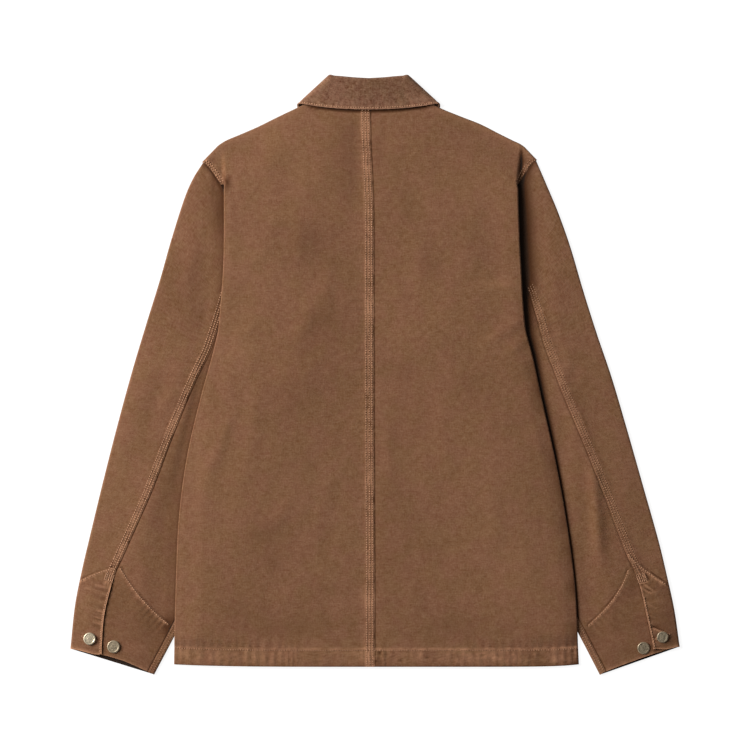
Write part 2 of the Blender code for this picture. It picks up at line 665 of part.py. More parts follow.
def upper_sleeve(side, name, material):
    """From the back seam over the outer edge, under the arm side and up to the inner seam."""
    middle, raised = [], []
    for v in SLEEVE_ROWS:
        line = sleeve_line(side, v)
        width, seam = line["width"], line["row"]["seam"]
        inner_seam = 1 - (INNER_RIDGE + SEAM_GAP) / width
        shares = [seam - SEAM_GAP / width, seam - SLEEVE_RIDGE / width,
                  seam - (SLEEVE_RIDGE + 1.5) / width]
        shares += [min(shares[2] - 0.01 * (k + 1), seam * s) for k, s in enumerate(UPPER_SHARES)]
        rises, row = [], []
        for k, share in enumerate(shares):
            near = 1 - smooth((seam - share) * width / (UNDERLAP + 14) - 0.45)
            row.append(sleeve_top_point(side, v, share, FLAP_RISE * vent(v, 0.4) * near))
            rises.append(SEAM_RIDGE * uncovered(side, row[-1]) if k < 2 else 0.0)
        row += edge_arc(side, line["outer"], (60, 20, -20, -60))
        for share in BOTTOM_SHARES:
            out, y = sleeve_point(side, v, share)
            row.append((out * side, y, FLOOR_LEVEL))
        row += edge_arc(side, line["inner"], (-60, -20, 20, 60))
        row.append(sleeve_top_point(side, v, inner_seam + 2.5 / width))
        row.append(sleeve_top_point(side, v, inner_seam + SEAM_GAP / width))
        rises += [0.0] * (len(row) - len(rises) - 3)
        rises += [BAND_RISE * uncovered(side, point) for point in row[-3:]]
        middle.append(row)
        raised.append(rises)
    return wall(name, middle, side, CLOTH, material, raised)


def under_sleeve(side, name, material):
    """Between the two seams on top, with the vent's under layer at the cuff."""
    middle = []
    for v in SLEEVE_ROWS:
        line = sleeve_line(side, v)
        width, seam = line["width"], line["row"]["seam"]
        first = seam - vent(v) * UNDERLAP / width
        last = 1 - (INNER_RIDGE + SEAM_GAP) / width
        knee = seam + 0.012
        shares = [first, mix(first, knee, 0.5), knee]
        shares += [mix(knee, last, t) for t in (0.25, 0.5, 0.75, 1.0)]
        middle.append([sleeve_top_point(side, v, share) for share in shares])
    return wall(name, middle, -side, CLOTH, material)


def unit(v):
    return v / max(np.linalg.norm(v), 1e-9)


def collar_section(side, station):
    """Middle points across the collar at one station, from the neck seam to the leaf's edge."""
    index = range(len(COLLAR["turn"]))
    at = {key: curve(index, COLLAR[key], station) for key in COLLAR}
    neck = np.array((at["neck_out"], at["neck_y"], at["neck_z"]))
    roll = np.array((at["roll_out"], at["roll_y"], at["neck_z"]))
    leaf = np.array((at["leaf_out"], at["leaf_y"], at["neck_z"]))
    rise, fall = unit(roll - neck), unit(leaf - roll)
    tip = unit(rise - fall)
    turn = math.radians(at["turn"])
    over = np.array((math.sin(turn) * tip[1], -math.sin(turn) * tip[0], math.cos(turn)))
    radius = at["radius"]
    stand = roll - rise * (radius + COLLAR_CLOTH / 2)
    section = [mix(neck, stand, t) for t in (0, 0.5, 1)]
    for degrees in (-60, -30, 0, 30, 60, 90):
        angle = math.radians(degrees)
        section.append(stand + tip * radius * math.cos(angle)
                       + over * radius * (1 + math.sin(angle)))
    start = section[-1]
    leaf[2] = at["leaf_z"]
    for t in (0.3, 0.6, 0.85, 1.0):
        place = mix(start, leaf, t)
        place[2] = mix(start[2], leaf[2], smooth(t))
        section.append(place)
    return [(NECK_CENTRE + p[0] * side, p[1], p[2]) for p in section]


def collar(name, material):
    rows = [collar_section(LEFT, s) for s in reversed(COLLAR_STATIONS)]
    rows += [collar_section(RIGHT, s) for s in COLLAR_STATIONS[1:]]
    return wall(name, rows, 1, COLLAR_CLOTH, material)


def cloth_top(objects, x, y, radius=0.0):
    """Height of the highest cloth over a point, or on a circle round it, in millimetres."""
    best = 0.0
    for k in range(16):
        angle = math.pi * k / 8
        start = ((x + radius * math.cos(angle)) * MM, (y + radius * math.sin(angle)) * MM, 0.1)
        for obj in objects:
            hit, place, _, _ = obj.ray_cast(start, (0, 0, -1))
            if hit:
                best = max(best, place.z / MM)
    return best


def button(name, x, y, level, material, sides=16):
    """A tack button: a short post and a domed head with a raised rim."""
    half = BUTTON_WIDTH / 2
    profile = ((0.0, 0.0), (3.2, 0.0), (3.2, 0.9), (half - 1.0, 0.9), (half, 1.4), (half, 2.0),
               (half - 0.8, BUTTON_HEIGHT), (half - 2.0, 2.2), (0.0, BUTTON_HEIGHT - 0.1))
    points, faces, rings = [], [], []
    for radius, z in profile:
        if radius == 0:
            rings.append([len(points)] * sides)
            points.append((x, y, level + z))
            continue
        rings.append(list(range(len(points), len(points) + sides)))
        for k in range(sides):
            angle = 2 * math.pi * k / sides
            points.append((x + radius * math.cos(angle), y + radius * math.sin(angle), level + z))
    for low, high in zip(rings, rings[1:]):
        for k in range(sides):
            n = (k + 1) % sides
            ring = [low[k], low[n], high[n], high[k]]
            faces.append(tuple(dict.fromkeys(ring)))
    return make_object(name, points, faces, material)


def clear_scene():
    for obj in list(bpy.data.objects):
        bpy.data.objects.remove(obj, do_unlink=True)


def main():
    clear_scene()
    canvas = make_material("canvas", CANVAS)
    collar_canvas = make_material("collar_canvas", COLLAR_CANVAS)
    brass = make_material("brass", BRASS)
    sleeves = []
    for side, word in SIDES:
        back_panel(side, f"back_{word}", canvas)
        front_panel(side, f"front_{word}", canvas)
        sleeves.append(upper_sleeve(side, f"sleeve_{word}_upper", canvas))
        sleeves.append(under_sleeve(side, f"sleeve_{word}_under", canvas))
    collar("collar", collar_canvas)
    bpy.context.view_layer.update()
    for row in BUTTONS:
        level = SEAM_GAP + max(cloth_top(sleeves, row["x"], row["y"], radius) - lift
                               for radius, lift in BUTTON_RESTS)
        button(row["name"], row["x"], row["y"], level, brass)


main()
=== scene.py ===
"""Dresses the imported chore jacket: washed canvas panels, felled seams, sewing and buttons.

The jacket lies on its front with its back up. Sizes in the tables are millimetres. A distance
called "out" is measured away from the centre line, so the left side mirrors the right.
"""

import math

import bpy
import numpy as np
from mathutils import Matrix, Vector
from mathutils.bvhtree import BVHTree


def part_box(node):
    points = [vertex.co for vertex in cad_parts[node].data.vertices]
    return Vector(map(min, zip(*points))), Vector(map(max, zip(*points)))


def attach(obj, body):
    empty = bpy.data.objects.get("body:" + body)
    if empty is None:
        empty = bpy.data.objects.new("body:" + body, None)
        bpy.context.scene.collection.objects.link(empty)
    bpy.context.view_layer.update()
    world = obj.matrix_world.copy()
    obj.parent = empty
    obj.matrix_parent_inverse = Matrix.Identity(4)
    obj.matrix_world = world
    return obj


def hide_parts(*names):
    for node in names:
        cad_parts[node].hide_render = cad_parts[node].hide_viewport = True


bl_info = {
    "name": "Canvas chore jacket",
    "version": (1, 0, 0),
    "blender": (4, 5, 0),
    "location": "View3D > Sidebar > Jacket",
    "description": "Builds a washed canvas chore jacket, laid flat with its back up",
    "category": "Object",
}

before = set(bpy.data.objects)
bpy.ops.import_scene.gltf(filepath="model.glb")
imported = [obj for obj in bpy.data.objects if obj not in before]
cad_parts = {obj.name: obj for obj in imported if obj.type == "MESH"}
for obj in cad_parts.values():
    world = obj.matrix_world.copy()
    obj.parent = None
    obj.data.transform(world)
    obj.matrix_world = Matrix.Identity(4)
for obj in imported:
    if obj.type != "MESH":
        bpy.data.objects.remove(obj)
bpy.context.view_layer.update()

MM = 0.001
LEFT, RIGHT = -1, 1
SIDES = ((LEFT, "left"), (RIGHT, "right"))


def named_rows(names, rows):
    """A table with named columns: a dictionary for each row."""
    return tuple(dict(zip(names.split(), row)) for row in rows)


# ---- Driving sizes, the same as the solids have ----

CLOTH = 1.2                # thickness of a panel's wall
COLLAR_CLOTH = 1.6         # and of the collar's, which has two layers
SEAM_GAP = 0.3             # between pieces at a seam
# Heights of the walls' middles above the surface, and what each layer adds.
FLOOR_LEVEL = CLOTH / 2
TUCKED = 2.6               # a sleeve's upper layer, where the body covers it
SLEEVE_EDGE_RISE = 0.8     # what a free sleeve adds at its edges
SLEEVE_CROWN = 1.6         # and between them
OVER_SLEEVE = 3.8          # the body's lower layer, where it lies on a sleeve
FOLD = 3.2                 # between the body's two layers
SHOULDER_FOLD = 2.2
BODY_CROWN = 0.9
COLLAR_BED = 3.2           # what the collar lifts the body by
FRONT_STEP = 2.0           # what the outer front lifts the inner one by
FLAP_RISE = 1.7
# Seams: how far their allowances reach from the join, and how high they stand.
RIDGE_WIDTH = 13.0
ARMHOLE_RIDGE = 8.0
SLEEVE_RIDGE = 11.5
INNER_RIDGE = 9.5
SEAM_RIDGE = 0.8
HEM_RIDGE = 0.5
SEAM_TOP = 366.0           # where the centre seam ends at the neck
# The hem: how far its middle hangs below its ends, and how sharp its corners are.
HEM_SAG = 3.4
HEM_CORNER = {LEFT: 4, RIGHT: 10}
HEM_HALF = 275.0
HEM_BEND_FROM = -300.0     # the rows start to follow the hem below this
HEM_LINE = 22.0            # the hem's stitches above its edge
# Neck, shoulder and side folds.
NECK_CENTRE = -8.2
NECK_HALF = 72.0
CAP_BOW = 11.0             # how far the armhole bows out
TOP_INSET = 1.7
SHOULDER_TURN = 8.0        # how far the back turns under at the shoulder
FOLD_REACH_OUT = 3.5       # the side fold's reach where the cloth goes out over the shoulder
FOLD_REACH_IN = 2.2        # and where it turns in under the body
FRONT_TOP_SHARE = 0.04     # where the front's armhole starts
FRONT_OVERLAP = 20.0
STRIP_LEAD = 1.5           # where the body's lower layer starts down off the sleeve
STRIP_RAMP = 10.0          # and how far in it reaches the surface
STRIP_OFF_FOLD = 16.0      # how far inside the side fold it ends at the least
SLEEVE_FADE = 130.0        # how far in from a sleeve's edge the back still rests on it
# The cuff's vent, with heights in rows of the table of sleeves.
UNDERLAP = 20.0
VENT_TOP = 1.7

FOLD_EDGE = {
    "y":     (-388, -349, -282, -188, -110, -34, 30, 58, 85, 143, 198, 253, 279, 306),
    LEFT:    (269.0, 268.3, 266.5, 262.0, 251.5, 234.0, 216.5, 210.0, 207.5, 203.0,
              202.0, 202.0, 202.8, 206.0),
    RIGHT:   (273.5, 271.7, 268.0, 255.5, 241.0, 224.0, 210.0, 202.5, 199.5, 196.0,
              193.3, 192.0, 193.8, 196.5),
}
TOP_EDGE = {
    "out":   (0, 20, 40, 58, NECK_HALF, 86, 98, 122, 150, 174, 193, 204, 213, 223, 232),
    LEFT:    (362.6, 362.9, 364.3, 366.6, 367.8, 361.5, 355.8, 344.5, 330.8, 320.5, 312.1,
              304.2, 295.6, 282.8, 270.0),
    RIGHT:   (362.6, 362.9, 364.3, 366.6, 367.8, 361.5, 355.6, 346.0, 335.0, 322.7, 313.3,
              307.9, 300.1, 287.2, 274.5),
}
FRONT_NECK = {
    "out": (0, 22, 42, 55, 63, 69, NECK_HALF),
    "y":   (274, 280, 294, 310, 328, 347, 357),
}
CENTRE_SEAM = {"y": (-392, -300, -88, 207, 352, 370), "x": (0.3, 0.3, -0.6, -1.0, -5.7, -5.7)}

# The body's rows above the underarm: height at the side fold, and place on the armhole.
ARMHOLE_ROWS = {
    "y":       (39.5, 60, 90, 125.5, 161, 195, 227, 244, 255.5, 271, 287, 305),
    "armhole": (1.0, 0.92, 0.80, 0.66, 0.52, 0.38, 0.25, 0.18, 0.135, 0.095, 0.05, 0.0),
}
FIRST_ROW_Y = 305.0
CLIMB_REACH = 190.0        # the rows follow the shoulder and neck this far below the first
OUTWARDS_ABOVE = 255.5     # the cloth goes out over the shoulder above this
INWARDS_BELOW = 244.0      # and turns in under the body below this
PIT_Y = 39.5
HEM_ROWS_FROM = -352.0     # closer rows below this
HEM_ROW_Y = -388.0

SLEEVES = {
    LEFT: {
        "outer_out": (407.7, 401.7, 392.3, 382.9, 364.8, 345.4, 325.3, 306.5, 287.8, 273.0,
                      255.6, 243.5, 230.1),
        "outer_y":   (-367.2, -310.2, -262.0, -221.8, -146.7, -70.4, 3.4, 66.3, 126.6, 178.9,
                      233.8, 262.0, 283.4),
        "inner_out": (295.4, 269.0, 246.2, 227.5, 188.6, 161.8, 140.4, 125.6, 118.9, 116.2,
                      114.9, 114.0, 113.6),
        "inner_y":   (-401.9, -351.8, -306.2, -264.7, -181.6, -97.2, -28.8, 8.7, 23.5, 30.2,
                      34.2, 37.0, 39.5),
        "seam":      (0.364, 0.30, 0.29, 0.32, 0.37, 0.412, 0.457, 0.492, 0.488, 0.485, 0.488,
                      0.49, 0.50),
    },
    RIGHT: {
        "outer_out": (408.5, 401.5, 392.0, 380.0, 359.5, 338.2, 317.6, 297.2, 279.4, 262.4,
                      245.8, 230.0, 216.1),
        "outer_y":   (-364.5, -316.0, -272.0, -222.0, -149.4, -74.4, -4.7, 55.6, 111.9, 169.5,
                      216.4, 254.0, 286.1),
        "inner_out": (301.4, 272.4, 252.0, 234.0, 193.0, 165.5, 143.0, 127.0, 119.5, 116.5,
                      114.8, 113.7, 112.9),
        "inner_y":   (-402.3, -346.4, -308.0, -266.0, -181.0, -96.5, -29.0, 9.0, 24.0, 31.0,
                      34.5, 37.3, 39.5),
        "seam":      (0.31, 0.29, 0.27, 0.312, 0.322, 0.366, 0.406, 0.410, 0.395, 0.40, 0.43,
                      0.46, 0.50),
    },
}

# The collar from the centre back (first) round the neck to the centre front (last).
COLLAR = {
    "neck_out": (0, 20, 40, 58, 67, 70.2, 71.4, 70.4, 69.0, 65.5, 55, 40, 21, 4),
    "neck_y":   (363.4, 363.8, 365.3, 367.7, 369.6, 370.3, 370.5, 369.8, 367.2, 345, 319,
                 299.5, 284.5, 276.5),
    "neck_z":   (7.6, 7.2, 6.5, 6.1, 6.3, 6.2, 5.1, 4.0, 3.6, 3.6, 3.6, 3.6, 3.6, 3.6),
    "roll_out": (0, 20, 36.5, 44.2, 46.4, 47.4, 48.6, 47.6, 47.0, 49, 40, 29, 16, 4),
    "roll_y":   (396.4, 397.6, 399.2, 399.6, 399.4, 398.9, 398.2, 397.6, 396.0, 376, 348,
                 328, 314, 307),
    "leaf_out": (0, 21.5, 46, 70, 87, 93, 95.3, 95.5, 95, 92, 75, 52, 28, 5),
    "leaf_y":   (354.5, 354.9, 356.3, 359.0, 361.8, 362.2, 361.0, 358.3, 351, 330, 295,
                 270, 252.5, 243),
    "leaf_z":   (10.9, 10.5, 9.9, 9.2, 8.9, 7.9, 5.0, 2.1, 0.9, 0.8, 0.8, 0.8, 0.8, 0.8),
    "turn":     (0, 0, 2, 8, 22, 55, 90, 128, 168, 180, 180, 180, 180, 180),
    "radius":   (4.2, 4.2, 4.2, 4.2, 3.9, 3.1, 2.2, 1.8, 1.45, 1.4, 1.4, 1.4, 1.4, 1.4),
}

# ---- Soft folds: each is a ridge (rise above 0) or a trough from one point to another ----

FOLD_KEYS = "x0 y0 x1 y1 width rise"
BODY_FOLDS = named_rows(FOLD_KEYS, (
    # Left of the centre seam, from the collar down.
    (-22, 338, -20, 200, 13, -1.1), (-127, 308, -172, 240, 12, 0.55),
    (-72, 310, -74, 232, 14, 0.8), (-102, 214, -100, 132, 13, 1.0), (-70, 112, -118, 20, 13, 1.1),
    (-64, 36, -128, -60, 14, 0.5), (-62, 150, -64, 60, 10, 0.6), (-150, -20, -176, 40, 14, 0.5),
    (-191, -50, -232, -160, 9, 0.9), (-156, -28, -184, -190, 12, 0.7),
    (-112, -164, -142, -215, 10, 0.5), (-52, -120, -90, -260, 12, 0.6),
    (-165, -300, -84, -306, 15, 0.6), (-140, 130, -160, 60, 18, 0.6),
    (-190, 46, -150, 70, 9, 0.5), (-196, 146, -150, 152, 8, 0.35),
    # Right of it.
    (34, 244, 78, 110, 13, 0.6), (203, 77, 136, 34, 8, 0.95), (206, 50, 170, 22, 6, 0.6),
    (190, 119, 124, 115, 7, 0.5), (150, 4, 90, -8, 12, 0.5), (157, -150, 165, -262, 12, 0.6),
    (56, -318, 38, -236, 14, 0.6), (18, -70, 21, -180, 11, 0.55), (91, -42, 95, -150, 14, 0.6),
    (120, 210, 150, 130, 20, 0.45), (200, -180, 214, -300, 16, 0.6),
    # Along the upper side folds, which stand up where they turn over the sleeves.
    (188, 268, 196, -30, 26, 2.4), (-199, 230, -203, 80, 24, 0.7),
))
# Soft patches, partly the tone that washing left and partly painted light and shade, the
# darkest of them painted shade at folds and creases: where, how wide and high, and how pale
# (above 0) or dark.
MARK_KEYS = "x y wide high tone"
BODY_TONES_AND_SHADES = named_rows(MARK_KEYS, (
    (-42, 300, 16, 50, -0.26), (-36, 240, 9, 30, -0.12), (-87, 182, 34, 22, -0.18),
    (-112, 196, 16, 12, -0.10), (-70, 150, 12, 12, -0.14), (-70, 66, 36, 26, -0.24),
    (-96, 34, 22, 22, -0.16), (-112, -30, 24, 34, -0.20), (-60, 0, 18, 26, -0.10),
    (-150, -214, 22, 18, -0.20), (-135, -250, 18, 14, -0.16), (-110, -336, 64, 18, -0.26),
    (-187, -312, 20, 22, -0.16), (-60, -290, 26, 14, -0.12), (-214, -40, 10, 40, -0.10),
    (-128, 262, 12, 24, -0.12), (4, 300, 7, 16, -0.24), (40, 218, 12, 36, -0.16),
    (74, 142, 15, 20, -0.20), (34, 4, 30, 18, -0.16), (60, -60, 30, 40, -0.14),
    (102, -336, 54, 16, -0.20), (30, -200, 26, 60, -0.10), (130, -20, 30, 26, -0.12),
    (30, 110, 18, 24, -0.10), (-198, 255, 5.5, 9, -1.1), (-183, 255, 6, 9, 0.45),
    (196, 284, 2.6, 20, -2.6), (203, 274, 8, 18, -0.5), (197, 264, 6, 10, -1.0),
    (-178, 302, 34, 16, -0.22), (-150, 252, 16, 26, 0.20), (-102, 270, 13, 36, 0.26),
    (-167, 152, 30, 30, 0.22), (-120, 120, 20, 20, 0.12), (-182, 34, 22, 24, 0.32),
    (-170, 80, 16, 14, 0.12), (141, 246, 30, 40, 0.18), (198, 304, 12, 8, 0.45),
    (168, 121, 26, 6, 0.40), (158, 48, 24, 8, 0.20), (195, -248, 46, 50, 0.20),
    (160, -140, 30, 60, 0.14), (-236, -160, 8, 120, 0.20), (-110, -160, 20, 50, 0.16),
    (-198, -180, 16, 50, 0.14), (-50, -200, 14, 60, 0.12), (60, 250, 20, 20, 0.10),
    (90, 200, 14, 30, 0.08), (60, -330, 20, 12, 0.12), (-13, -372, 7, 13, 0.9),
    (-12, -300, 9, 12, 0.6),
))
SLEEVE_TONES_AND_SHADES = {
    LEFT: named_rows(MARK_KEYS, (
        (-262, 120, 30, 60, -0.18), (-306, -60, 20, 60, -0.14), (-330, 10, 20, 60, 0.12),
        (-350, -100, 50, 160, 0.14), (-388, -306, 22, 44, 0.22), (-262, 240, 24, 60, 0.16),
        (-217, 248, 3.5, 16, -0.34), (-205, 240, 3.5, 30, -0.26), (-212, 190, 10, 40, -0.20),
        (-350, -300, 14, 26, -0.16), (-304, -330, 22, 20, -0.14), (-274, -336, 9, 13, -0.8),
        (-322, -366, 20, 8, 0.2), (-384, -352, 10, 6, 0.4),
    )),
    RIGHT: named_rows(MARK_KEYS, (
        (309, -206, 9, 46, -0.34), (322, -140, 24, 60, 0.24), (258, -125, 8, 40, 0.14),
        (250, 8, 9, 24, 0.30), (276, -90, 14, 90, -0.14), (284, -180, 14, 60, -0.12),
        (292, 60, 22, 70, 0.14), (376, -236, 12, 18, 0.30), (384, -300, 12, 16, 0.35),
        (366, -306, 10, 12, 0.35), (330, -352, 20, 8, 0.2), (344, -280, 8, 16, -0.35),
        (350, -312, 12, 16, 0.12), (300, -300, 20, 20, -0.10),
    )),
}
# Sharp little creases at the cuffs, each with a painted highlight and painted shade beside it:
# from one point to another, and how deep and dark.
CREASE_KEYS = "x0 y0 x1 y1 depth"
CREASES = {
    LEFT: named_rows(CREASE_KEYS, (
        (-378, -283, -360, -288, 0.9), (-375, -317, -361, -320, 0.8),
        (-378, -326, -361, -329, 0.8), (-377, -334, -363, -337, 0.6),
        (-345, -280, -336, -300, 0.5), (-392, -288, -378, -290, 0.4),
        (-352, -268, -344, -282, 0.5), (-330, -300, -318, -306, 0.4),
        (-310, -326, -296, -334, 0.5),
    )),
    RIGHT: named_rows(CREASE_KEYS, (
        (350, -253, 362, -275, 1.5), (367, -278, 353, -283, 1.7), (363, -266, 368, -277, 1.4),
        (358, -285, 373, -292, 1.2), (356, -275, 378, -291, 0.9), (368, -336, 392, -346, 1.7),
        (343, -256, 352, -284, 1.1), (362, -352, 374, -357, 0.8), (366, -306, 380, -312, 0.5),
        (366, -320, 378, -324, 0.4), (318, -302, 326, -316, 0.5), (300, -318, 306, -328, 0.4),
    )),
}
# How far the back sinks towards each side fold, and from how far in.
EDGE_SLOPES = {LEFT: (1.7, 36.0), RIGHT: (1.5, 20.0)}
# Where the inner facing of each cuff is stitched through: two arcs on each sleeve.
CUFF_ARCS = {
    LEFT: (((-340.0, -260.6), (-311.9, -300.8), (-277.0, -334.3)),
           ((-349.4, -259.3), (-373.5, -267.3), (-393.6, -276.7))),
    RIGHT: (((339.4, -263.3), (320.6, -300.1), (287.1, -335.7)),
            ((340.7, -241.9), (356.8, -258.0), (388.9, -280.7))),
}


def smooth(t):
    t = np.clip(t, 0.0, 1.0)
    return t * t * (3 - 2 * t)


def ramp(x, start, end):
    """0 at the start, 1 at the end and smooth between them, whichever of the two is lower."""
    return smooth((x - start) / (end - start))


def mix(a, b, t):
    return a + (b - a) * t


def hump(x, width, centre=0.0):
    """1 at the centre, and close to 0 from about two widths away."""
    return np.exp(-(((x - centre) / width) ** 2))


def curve(xs, ys, x):
    """A smooth curve through the points (xs, ys) that doesn't overshoot between them."""
    xs, ys = np.asarray(xs, float), np.asarray(ys, float)
    slopes = np.diff(ys) / np.diff(xs)
    tangents = np.empty(len(xs))
    tangents[0], tangents[-1] = slopes[0], slopes[-1]
    inner = slopes[:-1] * slopes[1:] > 0
    tangents[1:-1] = np.where(inner, (slopes[:-1] + slopes[1:]) / 2, 0)
    steepest = 3 * np.minimum(np.abs(slopes[:-1]), np.abs(slopes[1:]))
    tangents[1:-1] = np.clip(tangents[1:-1], -steepest, steepest)
    i = np.clip(np.searchsorted(xs, x) - 1, 0, len(xs) - 2)
    span = xs[i + 1] - xs[i]
    t = np.clip((x - xs[i]) / span, 0.0, 1.0)
    return (ys[i] * (1 + 2 * t) * (1 - t) ** 2 + ys[i + 1] * t * t * (3 - 2 * t)
            + span * (tangents[i] * t * (1 - t) ** 2 - tangents[i + 1] * t * t * (1 - t)))


def field(x, y, cell, seed):
    """Smooth bumps between -1 and 1, each about one cell wide, and the same on every run."""
    size = 64
    lattice = np.random.default_rng(seed).uniform(-1, 1, (size, size))
    turn = 0.7 * seed
    u = (x * math.cos(turn) + y * math.sin(turn)) / cell + size / 2
    v = (y * math.cos(turn) - x * math.sin(turn)) / cell + size / 2
    i, j = np.floor(u).astype(int), np.floor(v).astype(int)
    s, t = smooth(u - i), smooth(v - j)
    low = mix(lattice[i % size, j % size], lattice[(i + 1) % size, j % size], s)
    high = mix(lattice[i % size, (j + 1) % size], lattice[(i + 1) % size, (j + 1) % size], s)
    return mix(low, high, t)


def bumps(x, cell, seed):
    """Smooth bumps between -1 and 1 along a line."""
    return field(x, 0 * x, cell, seed)


def rounded_path(points, count=24):
    """A smooth run of points through the three given ones."""
    a, b, c = (np.array(p, float) for p in points)
    middle = 2 * b - (a + c) / 2
    t = np.linspace(0, 1, count)[:, None]
    return a * (1 - t) ** 2 + 2 * middle * t * (1 - t) + c * t ** 2


def from_path(x, y, path):
    """For each point: distance to the path, distance along it, and +1 or -1 for its side."""
    best = np.full(np.shape(x), 1e9)
    along, side = np.zeros(np.shape(x)), np.ones(np.shape(x))
    done = 0.0
    for a, b in zip(path, path[1:]):
        step = b - a
        length = np.hypot(*step)
        px, py = x - a[0], y - a[1]
        t = np.clip((px * step[0] + py * step[1]) / length ** 2, 0, 1)
        off = np.hypot(px - t * step[0], py - t * step[1])
        nearer = off < best
        best = np.where(nearer, off, best)
        along = np.where(nearer, done + t * length, along)
        side = np.where(nearer, np.sign(step[0] * py - step[1] * px), side)
        done += length
    return best, along, side


def fold_heights(folds, x, y):
    total = 0.0
    for fold in folds:
        along = np.array((fold["x1"] - fold["x0"], fold["y1"] - fold["y0"]), float)
        length = np.hypot(*along)
        along /= length
        px, py = x - fold["x0"], y - fold["y0"]
        t = px * along[0] + py * along[1]
        off = px * along[1] - py * along[0]
        ends = smooth(t / (0.3 * length) + 0.5) * smooth((length - t) / (0.5 * length))
        total += fold["rise"] * ends * hump(off, fold["width"])
    return total


def tone_of(tones_and_shades, x, y):
    total = 0.0
    for mark in tones_and_shades:
        off = ((x - mark["x"]) / mark["wide"]) ** 2 + ((y - mark["y"]) / mark["high"]) ** 2
        total += mark["tone"] * np.exp(-off)
    return total


def creased(side, x, y):
    """(how far the small creases sink the cloth, and the painted highlight and shade beside them)
    """
    sunk, shade = 0.0, 0.0
    for crease in CREASES[side]:
        path = np.array(((crease["x0"], crease["y0"]), (crease["x1"], crease["y1"])), float)
        off, along, turn = from_path(x, y, path)
        length = np.hypot(*(path[1] - path[0]))
        off = off * turn * side
        there = crease["depth"] * smooth(4 * along / length) * smooth(4 - 4 * along / length)
        sunk += 0.5 * there * hump(off, 1.6)
        shade += there * (1.9 * hump(off, 1.2, -1.9) - 0.8 * hump(off, 1.2))
    return sunk, shade


# ---- Places on the garment ----

def fold_out(side, y):
    return curve(FOLD_EDGE["y"], FOLD_EDGE[side], y)


def top_y(side, x):
    return curve(TOP_EDGE["out"], TOP_EDGE[side], np.abs(x - NECK_CENTRE))


def seam_x(y):
    return curve(CENTRE_SEAM["y"], CENTRE_SEAM["x"], y)


def armhole(side, share, inset=0.0):
    """(out, y) on the armhole, from the shoulder (share 0) to the underarm (share 1)."""
    table = SLEEVES[side]
    ax, ay = table["outer_out"][-1], table["outer_y"][-1]
    bx, by = table["inner_out"][-1], table["inner_y"][-1]
    length = math.hypot(bx - ax, by - ay)
    share = np.clip(share, 0, 1)
    bow = CAP_BOW * np.sin(math.pi * share ** 0.6) - inset
    return (mix(ax, bx, share) - (ay - by) / length * bow,
            mix(ay, by, share) + (ax - bx) / length * bow)


def armhole_out(side, y):
    out, ys = armhole(side, np.linspace(1, 0, 41))
    return np.interp(y, ys, out)


def sleeve_inner_out(side, y):
    table = SLEEVES[side]
    below = curve(table["inner_y"], table["inner_out"], y)
    return np.where(y >= table["inner_y"][-1], armhole_out(side, y), below)


def sleeve_level(side, out, y, share):
    """Middle of the sleeve's upper layer: pressed flat under the body, soft outside it."""
    free = ramp(out - fold_out(side, y), 14, 50)
    share = np.clip(share, 0.0, 1.0)
    return TUCKED + free * (SLEEVE_EDGE_RISE + SLEEVE_CROWN * np.sin(math.pi * share))


def strip_level(side, out, y):
    """Middle of the body's lower layer: over the sleeve, and down to the surface inside it."""
    inside = sleeve_inner_out(side, y) - out - STRIP_LEAD
    inside *= smooth((PIT_Y - 2 - y) / 18)
    return FLOOR_LEVEL + OVER_SLEEVE * (1 - smooth(inside / STRIP_RAMP))


def strip_end_out(side, y):
    """Where the body's lower layer passes from the back to the front."""
    return np.minimum(sleeve_inner_out(side, y) - STRIP_LEAD - STRIP_RAMP - 1,
                      fold_out(side, y) - STRIP_OFF_FOLD)


def collar_lift(x, y, reach, fade):
    """How far the collar, which lies on the surface, lifts the cloth that is over it."""
    out = np.abs(x - NECK_CENTRE)
    return COLLAR_BED * ramp(y, 208, 234) * smooth((reach - out) / fade)


def front_level(x, y):
    """Middle of the lower front."""
    return FLOOR_LEVEL + collar_lift(x, y, 132, 28)


def hem_sag(side, x):
    return HEM_SAG * (1 - (np.abs(x) / HEM_HALF) ** HEM_CORNER[side])


def hem_edge(side, x):
    return HEM_ROW_Y - hem_sag(side, x)


def hem_drop(side, x, row):
    return ramp(row, HEM_BEND_FROM, HEM_ROW_Y) * hem_sag(side, x)


def climb(row):
    """How far a row follows the shoulder and the neck."""
    return 1 - smooth((FIRST_ROW_Y - row) / CLIMB_REACH)


def row_y(side, x, row, top):
    """Rows are level at the hem, and follow the shoulder and neck near the top."""
    return row + climb(row) * (top(side, x) - FIRST_ROW_Y) - hem_drop(side, x, row)


def back_top(side, x):
    out = np.abs(x - NECK_CENTRE)
    return top_y(side, x) - TOP_INSET * ramp(out - NECK_HALF, -8, 2)


def soft_waves(x, y, seed):
    """Gentle unevenness that washing leaves in canvas."""
    return (0.14 * field(x, y, 70, seed) + 0.30 * field(x, y, 34, seed + 1)
            + 0.20 * field(x, y, 17, seed + 2) + 0.08 * field(x, y, 8, seed + 3))


def edge_slope(side, from_fold, y):
    """How far the back sinks towards its side fold."""
    drop, reach = EDGE_SLOPES[side]
    return drop * ramp(y, 110, -20) * (1 - smooth(from_fold / reach))


